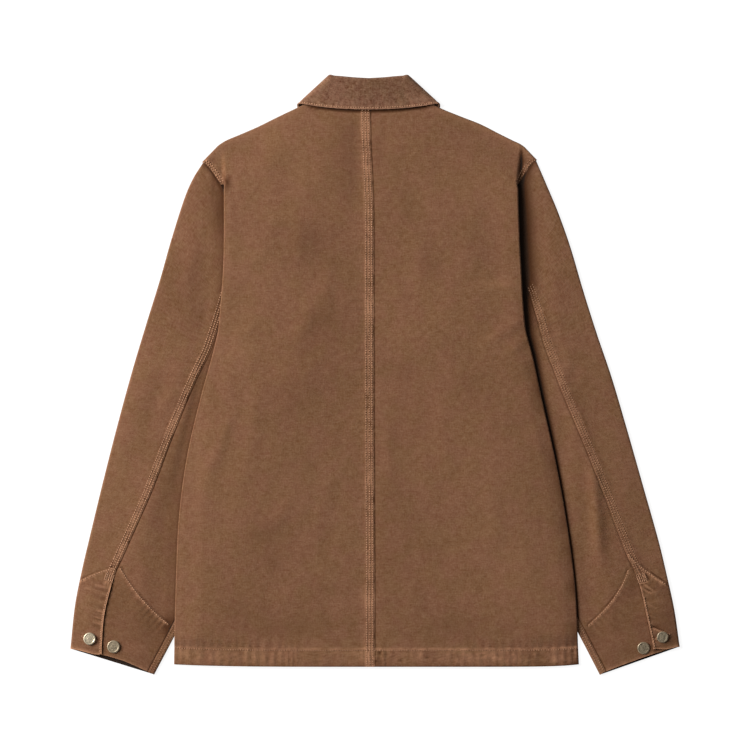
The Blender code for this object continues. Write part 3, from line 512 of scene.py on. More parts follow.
def back_level(side, x, y, edge_y):
    """Middle of the back, away from its side fold."""
    edge = fold_out(side, edge_y)
    from_fold, from_neck = edge - x * side, np.abs(x - NECK_CENTRE)
    edge_lift = strip_level(side, edge - FOLD / 2, edge_y) - FLOOR_LEVEL
    covered = np.maximum(edge - sleeve_inner_out(side, edge_y), 0) + STRIP_RAMP
    lift = edge_lift * (1 - smooth((from_fold - covered) / SLEEVE_FADE))
    crown = BODY_CROWN * ramp(from_fold, 0, 120)
    level = FLOOR_LEVEL + FOLD + lift + crown + fold_heights(BODY_FOLDS, x, y)
    level -= edge_slope(side, from_fold, y)
    level += (COLLAR_BED + 0.2) * ramp(y, 130, 220) * ramp(from_neck, 205, 30)
    shoulder = FLOOR_LEVEL + SHOULDER_FOLD + collar_lift(x, y, 168, 84)
    from_top = top_y(side, x) - y + np.maximum(0.5 * (NECK_HALF - from_neck), 0)
    top = ramp(from_top, 2, 62)
    level += soft_waves(x, y, 3) * top * mix(0.35, 1.0, ramp(y, -392, -352))
    return mix(shoulder, level, top)


# ---- Making cloth ----

def linked(name, data):
    """A new object in the scene."""
    obj = bpy.data.objects.new(name, data)
    bpy.context.scene.collection.objects.link(obj)
    return obj


def shell(name, middle, outward, thickness, raised=0.0, keep=True, flat=None, wear=0.0,
          inside=0.0):
    """A closed thin shell about a grid of middle points, with its cloth's own UV map.

    outward is 1 or -1 and says which way the outside lies; raised lifts the outer points;
    keep says which cells are cloth; flat holds each point's place on the flat cloth; the grid
    of wear and painted light is above 0 where the outside is paler, rubbed and painted with
    highlights, and below 0 where it is darker, with dirt and painted shade, and it stands for
    painted deep shadow below -1.3; inside is the same for the cloth's other face.
    """
    middle = np.asarray(middle, float)
    rows, columns = middle.shape[:2]
    raised, wear, inside = (np.broadcast_to(values, (rows, columns))
                            for values in (raised, wear, inside))
    keep = np.broadcast_to(keep, (rows - 1, columns - 1))
    flat = grid_lengths(middle) if flat is None else flat
    cell = np.cross(middle[1:, 1:] - middle[:-1, :-1], middle[1:, :-1] - middle[:-1, 1:])
    cell /= np.maximum(np.linalg.norm(cell, axis=2, keepdims=True), 1e-9)
    cell *= keep[:, :, None]
    normals = np.zeros_like(middle)
    for i, j in ((0, 0), (0, 1), (1, 1), (1, 0)):
        normals[i:rows - 1 + i, j:columns - 1 + j] += cell
    normals *= outward / np.maximum(np.linalg.norm(normals, axis=2, keepdims=True), 1e-9)
    outer = middle + normals * (thickness / 2 + raised)[:, :, None]
    inner = middle - normals * thickness / 2
    count = rows * columns
    index = np.arange(count).reshape(rows, columns)
    a, b, c, d = (index[:-1, :-1][keep], index[:-1, 1:][keep],
                  index[1:, 1:][keep], index[1:, :-1][keep])
    top = np.stack((a, b, c, d)[::outward], 1)
    under = top[:, ::-1] + count
    edges = np.concatenate([top[:, [k, (k + 1) % 4]] for k in range(4)])
    keys = edges[:, 0] * count + edges[:, 1]
    twins = edges[:, 1] * count + edges[:, 0]
    rim = edges[~np.isin(keys, twins)]
    sides = np.stack((rim[:, 1], rim[:, 0], rim[:, 0] + count, rim[:, 1] + count), 1)
    faces = np.concatenate((top, under, sides))
    points = np.concatenate((outer.reshape(-1, 3), inner.reshape(-1, 3))) * MM
    used = np.unique(faces)
    renumber = np.zeros(2 * count, int)
    renumber[used] = np.arange(len(used))
    mesh = bpy.data.meshes.new(name)
    mesh.from_pydata(points[used].tolist(), [], renumber[faces].tolist())
    place = np.tile(flat.reshape(-1, 2), (2, 1))[used] * MM
    corners = np.empty(len(mesh.loops), np.int32)
    mesh.loops.foreach_get("vertex_index", corners)
    mesh.uv_layers.new(name="cloth").data.foreach_set("uv", place[corners].ravel())
    rubbed = np.concatenate((wear.ravel(), inside.ravel()))[used]
    mesh.attributes.new("wear", "FLOAT", "POINT").data.foreach_set("value", rubbed)
    mesh.shade_smooth()
    mesh.set_sharp_from_angle(angle=math.radians(48))
    return linked(name, mesh)


def grid_lengths(middle):
    """Place of each grid point on the flat cloth: length along its row, and down its column."""
    across = np.linalg.norm(np.diff(middle, axis=1), axis=2)
    down = np.linalg.norm(np.diff(middle, axis=0), axis=2)
    u = np.concatenate((np.zeros((len(middle), 1)), np.cumsum(across, axis=1)), axis=1)
    v = np.concatenate(([0.0], np.cumsum(np.median(down, axis=1))))
    return np.stack((u, np.broadcast_to(v[:, None], u.shape)), axis=2)


def lapped(distance, width, height):
    """How far a felled seam's allowance lifts the cloth, at each distance from the join."""
    return height * ramp(distance - width, 6, -3)


def quilted(distance, rows):
    """How far stitch rows and the join pull the cloth in."""
    pulled = 0.40 * hump(distance, 0.8)
    for row in rows:
        pulled += 0.22 * hump(distance, 1.0, row)
    return -pulled


def seam_wear(distance, along, width, rows):
    """Pale blotches where a seam's ribs rub, dark in its join and round its stitches."""
    blots = bumps(along, 24, 21) + 0.5 * bumps(along, 9, 22)
    specks = field(along, 2.2 * distance, 3.4, 23)
    knots = np.maximum(bumps(along, 30, 29), 0)
    rubbed = (0.62 + 0.70 * blots + 1.20 * specks + 1.1 * knots)
    rubbed *= ramp(distance - width, 1, -1.5)
    rubbed -= 1.3 * hump(distance, 0.8)
    rubbed -= 0.20 * hump(distance - width, 2.5, 1.5)
    for row in rows:
        rubbed -= 0.35 * hump(distance, 0.9, row)
    return rubbed


def puckers(along, distance, pitch, reach, seed):
    """Small waves that run away from a stitched line and die out."""
    beat = along / pitch + 0.8 * bumps(along, 3 * pitch, seed)
    strength = 0.55 + 0.45 * bumps(along, 7 * pitch, seed + 5)
    return strength * np.sin(2 * math.pi * beat) * np.exp(-np.abs(distance) / reach)


# ---- Pieces: the back ----

# Stitch rows of each felled seam, from its join.
CENTRE_ROWS = (2.7, 6.3, 10.7)
ARMHOLE_STITCHES = (1.9, 5.6)
SLEEVE_STITCHES = (2.4, 5.9, 9.6)
INNER_STITCHES = (1.8, 5.8)
# Columns of the back from the centre seam out: under it, over its ridge, to the neck's end, to
# the side fold and round it.
ALLOWANCE = np.array((-4.5, -2.6, -1.1))
RIDGE_COLUMNS = np.concatenate((np.linspace(0, 1.4, 3), np.linspace(2.1, 12.6, 16),
                                (13.5, 14.5, 15.6, 17, 20, 24, 28, 34, 40)))
BACK_TO_NECK = np.linspace(0, 1, 14)[1:]
NECK_TO_FOLD = np.linspace(0, 1, 82)[1:]
# Steps from the side fold on: -1 to 4 go round the fold, and 4 to 10 lie beyond it.
FOLD_STEPS = np.array((-0.6, -0.2, 0.2, 0.7, 1.2, 1.7, 2.2, 2.7, 3.2, 3.6, 4,
                       4.6, 5.2, 6, 6.7, 7.4, 8.2, 9, 10))


def body_row_heights():
    above = np.linspace(FIRST_ROW_Y, OUTWARDS_ABOVE, 16)
    between = np.linspace(OUTWARDS_ABOVE, INWARDS_BELOW, 10)[1:]
    below = np.linspace(INWARDS_BELOW, PIT_Y, 66)[1:]
    side = np.linspace(PIT_Y, HEM_ROWS_FROM, 126)[1:]
    hem = np.linspace(HEM_ROWS_FROM, HEM_ROW_Y, 19)[1:]
    return np.concatenate((above, between, below, side, hem))


# How strongly the hem's rubbed ribs and the painted shade in its hollows stand out from each
# other.
HEM_CONTRAST = {LEFT: 0.88, RIGHT: 1.4}


def hem_finish(side, x, y):
    """(raised, wear and painted light) of the hem: turned and stitched, and twisted by washing
    into ripples, rubbed paler on their crests and painted with shade in their hollows. It is
    also darker just below its stitch line and along its bottom edge.
    """
    up = y - hem_edge(side, x)
    beat = (x + 0.05 * up) / 10.5 + 1.3 * bumps(x, 40, 31)
    strength = 0.72 + 0.28 * bumps(x, 34, 33) + 0.35 * field(x, up, 5, 35)
    strength = np.minimum(strength, 0.95) * (0.7 + 0.5 * field(x, up, 9, 36))
    band = smooth((HEM_LINE + 2 - up) / 4) * ramp(up, -1, 2)
    ripple = 0.48 * strength * np.sin(2 * math.pi * beat) * band
    above = 0.45 * puckers(x, up - HEM_LINE - 2, 10.0, 10, 37)
    above *= smooth((up - HEM_LINE) / 2) * ramp(up, 70, 40)
    line = above - 0.42 * hump(up, 1.4, HEM_LINE)
    thick = HEM_RIDGE * smooth((HEM_LINE + 1.5 - up) / 1.5)

    specks = field(x, 2.2 * up, 3.4, 45)
    ribs = 1.5 * np.maximum(ripple, 0) + 0.8 * np.minimum(ripple, 0)
    wear = ribs * (0.2 + 0.8 * ramp(up, 6, 12)) + 0.3 * line
    wear += (1.5 + 1.0 * specks) * hump(up, 1.5, HEM_LINE + 1.6)
    wear -= (0.3 + 0.8 * specks) * hump(up, 1.4, HEM_LINE - 1.6)
    wear -= hump(up, 1.0, -0.3) + 0.26 * ramp(up, 11, 3) * ramp(up, -2, 1)
    turned = smooth((HEM_LINE + 2 - up) / 3) * ramp(up, 0, 9)
    wear += (0.40 + 0.55 * bumps(x, 18, 43) + 0.6 * specks) * turned
    broken = 0.75 + 0.6 * field(x, up, 6, 39)
    return ripple + line + thick, HEM_CONTRAST[side] * broken * wear


def turned_rows(side, y, share, outwards, tangent, high):
    """(out, y, z) of the back's rows from the side fold on.

    The rows over the shoulder go out to the armhole, and the others turn in underneath.
    """
    k = FOLD_STEPS
    above_pit = y > PIT_Y
    arm_out, arm_y = armhole(side, share)
    # Over the shoulder: down to the sleeve's level, and out to the armhole.
    low = sleeve_level(side, arm_out, arm_y, share)
    run = np.clip(arm_out - tangent - 0.8, 0.3, 2 * FOLD_REACH_OUT)
    t_down = np.clip((k + 1) / 5, 0, 1)
    t_out = np.interp(k, (4, 5, 6, 7, 8, 9, 10), (0, 0.3, 0.6, 0.7, 0.8, 0.9, 1))
    over = np.where(k <= 4, tangent + run * t_down, mix(tangent + run, arm_out, t_out))
    over_z = np.where(k <= 4, mix(high, low, smooth(t_down)), low)
    # Round the fold, and along the underside.
    angle = np.radians(np.interp(k, (-1, 0, 1, 2, 3, 4), (90, 55, 20, -20, -55, -90)))
    radius = (high - strip_level(side, tangent, y)) / 2
    inner = sleeve_inner_out(side, y)
    last = np.where(above_pit, np.minimum(arm_out, tangent - 2), strip_end_out(side, y))
    knee = np.minimum(np.minimum(inner, tangent - 3) - STRIP_LEAD, tangent - 2)
    t_near = np.interp(k, (4, 5, 6, 7), (0, 0.35, 0.7, 1))
    t_far = np.interp(k, (7, 8, 9, 10), (0, 0.4, 0.8, 1))
    below_arm = np.where(k <= 7, mix(tangent, knee, t_near), mix(knee, last, t_far))
    t_wide = np.interp(k, (4, 5, 6, 7, 8, 9, 10), (0, 0.17, 0.34, 0.5, 0.67, 0.84, 1))
    t_tight = np.interp(k, (4, 5, 6, 7, 8, 9, 10), (0, 0.3, 0.6, 0.9, 0.94, 0.97, 1))
    beside_arm = mix(tangent, last, np.where(share < 0.3, t_wide, t_tight))
    turned = np.where(k <= 4, tangent + FOLD / 2 * np.cos(angle),
                      np.where(above_pit, beside_arm, below_arm))
    out = mix(turned, over, outwards)

    ys = row_y(side, out * side, y, back_top)
    fifth = mix(tangent, tangent + run, outwards)
    start_y = row_y(side, fifth * side, y, back_top)
    t = np.clip(k - 4, 0, None) / 6
    to_arm = mix(ys, mix(start_y, arm_y, t), ramp(k, 3, 6))
    across = np.clip((out - fifth) / np.maximum(arm_out - fifth, 0.5), 0, 1)
    to_arm = np.where(k > 4, mix(to_arm, mix(start_y, arm_y, across), outwards), to_arm)
    ys = np.where(above_pit, to_arm, ys)
    turned_z = np.where(k <= 4, high - radius * (1 - np.sin(angle)), strip_level(side, out, ys))
    return out, ys, mix(turned_z, over_z, outwards)


def fold_light_and_shade(side, from_fold, y):
    """Painted highlight and painted shade along the side fold."""
    if side == LEFT:
        return 0.32 * hump(from_fold, 4.5, 4.6) - 0.95 * hump(from_fold, 1.9)
    below = ramp(y, 120, 0)
    return (0.8 * (1 - below) * hump(from_fold, 1.8, 1.2) - 0.20 * below * hump(from_fold, 24)
            - (0.16 + 0.60 * below) * hump(from_fold, 7.0))


def back_finish(side, x, y, from_seam, from_arm, from_fold, on_top, outwards):
    """(raised, wear and painted light) of the back: its seams, hem, tones, painted shades and
    highlights, and rubbed edges.
    """
    seam_side = from_seam < 60
    waves = puckers(y, from_seam - RIDGE_WIDTH * (side == LEFT), 9.5, 10, 11 + side)
    if side == LEFT:
        raised = quilted(from_seam, CENTRE_ROWS) + 0.26 * waves
        wear = np.where(seam_side, 0.86 * seam_wear(from_seam, y, RIDGE_WIDTH, CENTRE_ROWS), 0)
        wear += 0.20 * (1 - smooth((from_seam - RIDGE_WIDTH) / 2)) * ramp(from_seam, 0, 2)
    else:
        raised = 0.16 * waves
        wear = np.where(seam_side, -1.1 * hump(from_seam, 0.9), 0)
    raised = np.where(seam_side, raised, 0)
    # Puckers beside the seam are coloured by their height: paler on their crests, partly rubbing
    # and partly painted highlight, and painted shade in their hollows.
    wear += np.where(seam_side, 0.22 * waves, 0)
    hem_raised, hem_wear = hem_finish(side, x, y)
    raised += hem_raised * on_top
    wear += hem_wear * on_top
    over_shoulder = np.maximum(on_top, outwards)
    wear += tone_of(BODY_TONES_AND_SHADES, x, y) * over_shoulder
    # Rubbed along the shoulder and its band, and painted shade just below the collar's leaf.
    out = np.abs(x - NECK_CENTRE)
    from_top = top_y(side, x) - y
    rubbed = 0.5 * hump(from_top, 3.2, 3.2) + 0.14 * hump(from_top, 22)
    wear += rubbed * over_shoulder * smooth((out - NECK_HALF) / 20)
    below = np.interp(out, COLLAR["leaf_out"][:6], COLLAR["leaf_y"][:6]) - y
    wear -= 2.0 * ramp(below, 5.2, 0.8) * ramp(out, 97, 67) * (below > -9)
    band = outwards * (from_arm < 14)
    step = 0.45 * (1 - smooth((from_arm - ARMHOLE_RIDGE) / 2.0))
    raised += band * (step + quilted(from_arm, ARMHOLE_STITCHES))
    wear += band * seam_wear(from_arm, y, ARMHOLE_RIDGE, ARMHOLE_STITCHES)
    uneven = 0.7 + 0.5 * field(x, y, 16, 41)
    return raised, wear + fold_light_and_shade(side, from_fold, y) * uneven * on_top * (1 - outwards)


def back_panel(side, word):
    y = body_row_heights()[:, None]
    share = np.interp(y, ARMHOLE_ROWS["y"], ARMHOLE_ROWS["armhole"])
    outwards = smooth((y - INWARDS_BELOW) / (OUTWARDS_ABOVE - INWARDS_BELOW))
    edge = fold_out(side, y)
    start = seam_x(np.minimum(row_y(side, 0.0, y, back_top), SEAM_TOP)) * side + SEAM_GAP / 2
    tangent = edge - mix(FOLD_REACH_IN, FOLD_REACH_OUT, outwards)
    first = seam_x(SEAM_TOP) * side
    first_tangent = fold_out(side, FIRST_ROW_Y) - FOLD_REACH_OUT
    neck = mix(start, tangent, (NECK_HALF + NECK_CENTRE * side - first) / (first_tangent - first))
    tucked = ALLOWANCE if side == RIGHT else ALLOWANCE[:0]
    outs = np.concatenate((start + tucked, start + RIDGE_COLUMNS,
                           mix(start + RIDGE_COLUMNS[-1], neck, BACK_TO_NECK),
                           mix(neck, tangent, NECK_TO_FOLD)), axis=1)
    ys = row_y(side, outs * side, y, back_top)
    zs = back_level(side, outs * side, ys, y)
    if side == LEFT:
        zs += lapped(outs - start, RIDGE_WIDTH, 0.8 * SEAM_RIDGE)
    else:
        zs -= 0.55 * ramp(outs - start, 0, -1.2)
    top_columns = outs.shape[1]
    rows = turned_rows(side, y, share, outwards, tangent, zs[:, -1:])
    outs, ys, zs = (np.concatenate(pair, axis=1) for pair in zip((outs, ys, zs), rows))
    x = outs * side

    on_top = (np.arange(x.shape[1]) < top_columns + 2) * 1.0
    arm_out, arm_y = armhole(side, share)
    raised, wear = back_finish(side, x, ys, outs - start, np.hypot(arm_out - outs, arm_y - ys),
                               edge - outs, on_top, outwards)
    flat = np.stack((outs, ys), axis=2)
    flat[:, top_columns:, 0] = (2 * edge - outs)[:, top_columns:]
    neck_column = len(tucked) + len(RIDGE_COLUMNS) + len(BACK_TO_NECK) - 1
    middle, raised, wear, flat, keep = shoulder_turn(side, np.stack((x, ys, zs), axis=2), raised,
                                                     wear, flat, neck_column)
    return shell(f"back_{word}_cloth", middle, -side, CLOTH, raised, keep, flat, wear)


# Degrees round the shoulder's fold, from its upper side to its lower.
TURN_ANGLES = np.array((72, 50, 28, 5, -18, -40, -60, -78, -90))


def shoulder_turn(side, middle, raised, wear, flat, neck_column):
    """Adds the rows that wrap round the shoulder's fold on to the underside."""
    columns = middle.shape[1]
    along = np.gradient(middle[0, :, :2], axis=0)
    cap = np.subtract(armhole(side, 0), armhole(side, FRONT_TOP_SHARE)) * (side, 1)
    cap /= np.linalg.norm(cap)
    out = np.stack((-along[:, 1], along[:, 0]), axis=1) * side
    out /= np.maximum(np.linalg.norm(out, axis=1, keepdims=True), 1e-9)
    out *= np.where(out[:, 1:] < 0, -1, 1)
    steps = np.arange(columns)[:, None]
    out = mix(out, cap, ramp(steps - columns, -10, -2))
    out /= np.linalg.norm(out, axis=1, keepdims=True)
    x, y, z = middle[0].T
    low = front_level(x, y)
    radius = np.maximum((z - low) / 2, 0.2)
    angle = np.radians(TURN_ANGLES[::-1, None])
    push = 1.1 * np.cos(angle)
    turned = np.stack((x + out[:, 0] * push, y + out[:, 1] * push,
                       z - radius + radius * np.sin(angle)), axis=2)
    last = np.stack((x - out[:, 0] * SHOULDER_TURN, y - out[:, 1] * SHOULDER_TURN, low), axis=1)
    more = len(turned) + 1
    middle = np.concatenate((last[None], turned, middle))
    raised = np.concatenate((np.zeros((more, columns)), raised))
    wear = np.concatenate((np.full((more, columns), 0.15), wear))
    above = np.repeat(flat[:1], more, axis=0)
    above[:, :, 1] += np.linspace(14, 1, more)[:, None]
    flat = np.concatenate((above, flat))
    keep = np.ones((middle.shape[0] - 1, columns - 1), bool)
    keep[:more, :neck_column] = False
    return middle, raised, wear, flat, keep


# ---- Pieces: the fronts, face down ----

def front_top(side, x):
    out = np.abs(x - NECK_CENTRE)
    neck = curve(FRONT_NECK["out"], FRONT_NECK["y"], out)
    slope = (top_y(side, x + 2) - top_y(side, x - 2)) / 4
    shoulder = top_y(side, x) - (TOP_INSET + SHOULDER_TURN + 1) * np.hypot(1, slope)
    return mix(neck, shoulder, smooth((out - NECK_HALF) / 10 + 0.5))


def front_panel(side, word):
    """A front, face down. The left one is outermost, so it lies lowest."""
    armhole_y = np.linspace(FIRST_ROW_Y, PIT_Y, 40)[:, None]
    share = np.interp(armhole_y, ARMHOLE_ROWS["y"], ARMHOLE_ROWS["armhole"])
    share = np.maximum(share, FRONT_TOP_SHARE)
    side_y = np.linspace(PIT_Y, HEM_ROW_Y, 80)[1:, None]
    row = np.concatenate((armhole_y, side_y))
    arm_out, arm_y = armhole(side, share)
    end = np.concatenate((arm_out, strip_end_out(side, side_y))) - SEAM_GAP
    end_y = np.concatenate((arm_y, side_y))
    shift = NECK_CENTRE * side
    stops = np.concatenate((np.linspace(-FRONT_OVERLAP, FRONT_OVERLAP, 9),
                            FRONT_OVERLAP + np.array((1.5, 3, 5, 8, 12, 18)))) + shift
    stops = np.concatenate((stops, np.linspace(stops[-1], NECK_HALF + shift, 9)[1:]))
    t = np.linspace(0, 1, 14)[1:]
    outs = np.concatenate((np.broadcast_to(stops, (len(row), len(stops))),
                           mix(NECK_HALF + shift, end, t)), axis=1)
    even = np.linspace(0, 1, outs.shape[1])
    outs = np.where(end < NECK_HALF + shift + 12, mix(outs[:, :1], end, even), outs)
    x = outs * side
    across = (outs - outs[:, :1]) / (end - outs[:, :1])
    end_top = front_top(side, end * side)
    y = end_y + climb(row) * (front_top(side, x) - end_top) - hem_drop(side, x, row)
    top_line = front_top(side, x) + (end_y - end_top) * across ** 4
    y = mix(y, top_line, ramp(row - FIRST_ROW_Y, -12, 0))
    step = 0.0
    if side == RIGHT:
        step = FRONT_STEP * ramp(x - NECK_CENTRE - FRONT_OVERLAP, 8, 1.5)
    z = front_level(x, y) + step
    return shell(f"front_{word}_cloth", np.stack((x, y, z), axis=2), side, CLOTH)


# ---- Pieces: the sleeves ----

SLEEVE_ROWS = np.concatenate((np.linspace(0, 1.5, 46), np.linspace(1.5, 9, 170)[1:],
                              np.linspace(9, 12, 26)[1:]))
# Columns over the back seam's ridge, on to the outer edge, and beside the inner seam, with the
# angles of those round a folded edge.
OVER_TOP = np.concatenate((np.linspace(0, 1.2, 3), np.linspace(1.9, 11.2, 14),
                           (12.2, 13.4, 14.8, 17, 20)))
TO_EDGE = np.linspace(0, 1, 58)[1:]
INNER_BAND = np.array((7.6, 6.4, 5.2, 4.2, 3.2, 2.3, 1.5, 0.8, SEAM_GAP))
EDGE_ANGLES = np.array((70, 50, 30, 10, -10, -30, -50, -70))

SLEEVE_FOLDS = {
    LEFT: named_rows(FOLD_KEYS, (
        (-292, 70, -366, -190, 15, 0.9), (-248, 70, -320, -110, 12, -0.7),
        (-214, 36, -330, -262, 20, 1.7), (-240, 170, -262, 100, 9, 0.6),
        (-286, -40, -258, -20, 8, 0.4), (-322, -150, -296, -128, 9, 0.4),
    )),
    RIGHT: named_rows(FOLD_KEYS, (
        (240, 20, 300, -120, 14, 0.5), (293, -128, 303, -275, 8, 2.3),
        (272, 16, 262, -20, 8, -0.6), (300, 60, 340, -110, 16, 0.7),
        (262, 210, 290, 120, 12, 0.5), (330, -150, 352, -220, 12, 0.5),
    )),
}
# Where each back seam's sewing starts above the vent, in rows of the table of sleeves.
SEWN_FROM = {LEFT: 1.95, RIGHT: 2.1}
# How strongly each of a cuff's two arcs shows.
ARC_STRENGTH = {LEFT: (1.0, 1.1), RIGHT: (1.1, 1.6)}
# How far the upper layer's edge lies above the lower one's, across the cuff.
CUFF_GAPS = {
    "share": (0.0, 0.10, 0.30, 0.42, 0.60, 0.76, 0.90, 1.0),
    LEFT:    (0.0, 1.4, 2.8, 5.4, 5.6, 3.8, 1.6, 0.0),
    RIGHT:   (0.8, 1.8, 2.6, 2.9, 2.8, 2.5, 1.8, 0.8),
}
# How much shorter the flap's corner is than the rest of its edge, and from how far in.
FLAP_CORNERS = {LEFT: (1.4, 5.0), RIGHT: (6.6, 12.0)}
# How pale the sleeve seams are rubbed, how dark their joins are, and how much darker each inner
# seam's band is made.
SEAM_BRIGHTNESS = {LEFT: 1.0, RIGHT: 0.45}
JOINS = {LEFT: 1.3, RIGHT: 0.7}
INNER_SHADE = {LEFT: 0.25, RIGHT: -0.15}
# The painted shadow that the body's fold casts on a sleeve: its shape, then along the fold how
# deep and how wide it is, and how dark the painted line right beside the fold is.
FOLD_SHADOW_OFF = (0, 8.4, 11, 13.5, 17, 21, 27, 33)
FOLD_SHADOW_DARK = (2.4, 2.2, 1.85, 1.1, 0.85, 0.55, 0.22, 0)
FOLD_SHADOWS = {
    LEFT: {
        "y":     (-400, 0, 30, 180, 215, 250, 300),
        "depth": (0.16, 0.16, 0.16, 0.18, 0.30, 0.26, 0.26),
        "reach": (1.2, 1.2, 0.5, 0.5, 0.9, 0.9, 0.9),
        "line":  0.45,
    },
    RIGHT: {
        "y":     (-400, -170, -60, 0, 50, 100, 130, 215, 250, 300),
        "depth": (1, 1, 1, 1, 1, 1, 1, 1, 1, 1),
        "reach": (0.10, 0.13, 0.32, 0.42, 0.50, 0.66, 0.96, 0.92, 0.74, 0.66),
        "line":  0.5,
    },
}


def sleeve_row(side, v):
    index = np.arange(len(SLEEVES[side]["outer_y"]))
    return {key: curve(index, values, v) for key, values in SLEEVES[side].items()}


def sleeve_width(row):
    return np.hypot(row["outer_out"] - row["inner_out"], row["outer_y"] - row["inner_y"])


def sleeve_point(side, v, share):
    """(out, y) on a sleeve's row; the rows near the armhole take up its bow."""
    row, last = sleeve_row(side, v), sleeve_row(side, len(SLEEVES[side]["seam"]) - 1)
    bowed = ramp(v, 9, 12)
    return tuple(
        mix(row[f"outer_{axis}"], row[f"inner_{axis}"], share)
        + bowed * (cap - mix(last[f"outer_{axis}"], last[f"inner_{axis}"], share))
        for axis, cap in zip(("out", "y"), armhole(side, share, SEAM_GAP)))


def sleeve_grain(side, v, out):
    """How far each point lies along the sleeve from its cuff."""
    row = sleeve_row(side, v)
    mid_out, mid_y = (row[f"outer_{axis}"] + row[f"inner_{axis}"] for axis in ("out", "y"))
    steps = np.hypot(np.diff(mid_out / 2, axis=0), np.diff(mid_y / 2, axis=0))
    lengths = np.concatenate((np.zeros((1, 1)), np.cumsum(steps, axis=0)))
    return np.broadcast_to(lengths, out.shape)


def vent(v, lead=0.0):
    """How far the cuff's vent has opened: 0 above it, 1 over most of its length."""
    return smooth((VENT_TOP + lead - v) / 0.35)


def uncovered(side, out, y):
    """1 where the body doesn't lie on the sleeve, and 0 where it does."""
    return ramp(out - fold_out(side, y), 5, 19)


def cuff_relief(side, v, x, y, arc):
    """The cuff's inner facing shows as a fine stitched step, puckered on its lower side, rubbed
    pale along its edge with a line of painted shade beside it.
    """
    off, along, turn = from_path(x, y, rounded_path(CUFF_ARCS[side][arc]))
    signed = off * turn * side * (1 if arc == 0 else -1)
    lower, shown = ramp(v, 2.35, 1.85), ramp(v, 3.1, 2.8)
    waves = puckers(along, off, 8.5, 10, 51 + arc) * (signed > 0) * lower
    raised = 0.50 * hump(signed, 1.5, 0.9) - 0.40 * hump(signed, 1.2, -1.6)
    wear = 1.5 * hump(signed, 1.6, 0.7) - 0.9 * hump(signed, 1.1, -2.3)
    # Puckers are paler on their crests, partly rubbing and partly painted highlight, and painted
    # darker in their hollows; the cloth below the step is a little darker.
    wear = wear * (0.8 + 0.5 * bumps(along, 6, 55)) - 0.20 * ramp(signed, 0, 4) * lower
    return raised * shown + 0.45 * waves, wear * ARC_STRENGTH[side][arc] * shown + 0.55 * waves


def sleeve_waves(side, out, y):
    """Soft folds of the sleeve, which fade out under the body."""
    x = out * side
    waves = (0.55 * field(x, y, 80, 5 + side) + 0.26 * field(x, y, 34, 8 + side)
             + 0.12 * field(x, y, 14, 12 + side))
    return (waves + fold_heights(SLEEVE_FOLDS[side], x, y)) * uncovered(side, out, y)


def edge_points(side, v, share, step, degrees):
    """Points round a sleeve's folded edge, from its top (90 degrees) to its bottom (-90)."""
    end_out, end_y = sleeve_point(side, v, share)
    next_out, next_y = sleeve_point(side, v, share + step)
    length = np.hypot(next_out - end_out, next_y - end_y)
    radius = (sleeve_level(side, end_out, end_y, share) - FLOOR_LEVEL) / 2
    angle = np.radians(degrees)
    inset = CLOTH / 2 + radius * (1 - np.cos(angle))
    return (end_out + (next_out - end_out) / length * inset,
            end_y + (next_y - end_y) / length * inset,
            FLOOR_LEVEL + radius + radius * np.sin(angle))


def top_point(side, v, share, rise=0.0, short=0.0):
    """(out, y, z) on the upper layer, whose cuff edge lies a little short of the lower one's."""
    out, y = sleeve_point(side, v, share)
    z = sleeve_level(side, out, y, share) + rise
    z += sleeve_waves(side, out, y) * np.sin(math.pi * np.clip(share, 0.02, 0.98)) ** 0.4
    row = sleeve_row(side, v)
    along_out = row["outer_y"] - row["inner_y"]
    along_y = row["inner_out"] - row["outer_out"]
    gap = curve(CUFF_GAPS["share"], CUFF_GAPS[side], np.clip(share, 0, 1))
    shift = (gap + short) * np.exp(-v / 0.16) * np.where(along_y < 0, -1, 1)
    length = np.hypot(along_out, along_y)
    return out + along_out / length * shift, y + along_y / length * shift, z


def painted_fold_shadow(side, out, y):
    """How dark the painted shadow on a sleeve's cloth is beside the body's fold."""
    off = np.maximum(out - fold_out(side, y), 0)
    table = FOLD_SHADOWS[side]
    reach, depth = (np.interp(y, table["y"], table[key]) for key in ("reach", "depth"))
    dark = depth * np.interp(off / reach, FOLD_SHADOW_OFF, FOLD_SHADOW_DARK)
    return dark + table["line"] * hump(off, 2.0)


def sleeve_shell(name, outward, middle, columns, *grids):
    """A sleeve's panel. Its top cloth runs on under the armhole's band for a few millimetres."""
    run = middle[-1, :, :2] - middle[-3, :, :2]
    run /= np.maximum(np.linalg.norm(run, axis=1, keepdims=True), 1e-6)
    reach = np.zeros((middle.shape[1], 1))
    reach[columns] = 1.0
    rows = []
    for length, dip in ((0.8, 0.9), (4.0, 1.2)):
        step = np.concatenate((run * length * reach, -dip * reach), axis=1)
        step[:, :2] += (1 - reach) * run * 0.02 * length
        rows.append(middle[-1] + step)
    middle = np.concatenate((middle, np.array(rows)))
    raised, flat, wear, inside = (np.concatenate((grid, grid[-1:], grid[-1:])) for grid in grids)
    return shell(name, middle, outward, CLOTH, raised, True, flat, wear, inside)


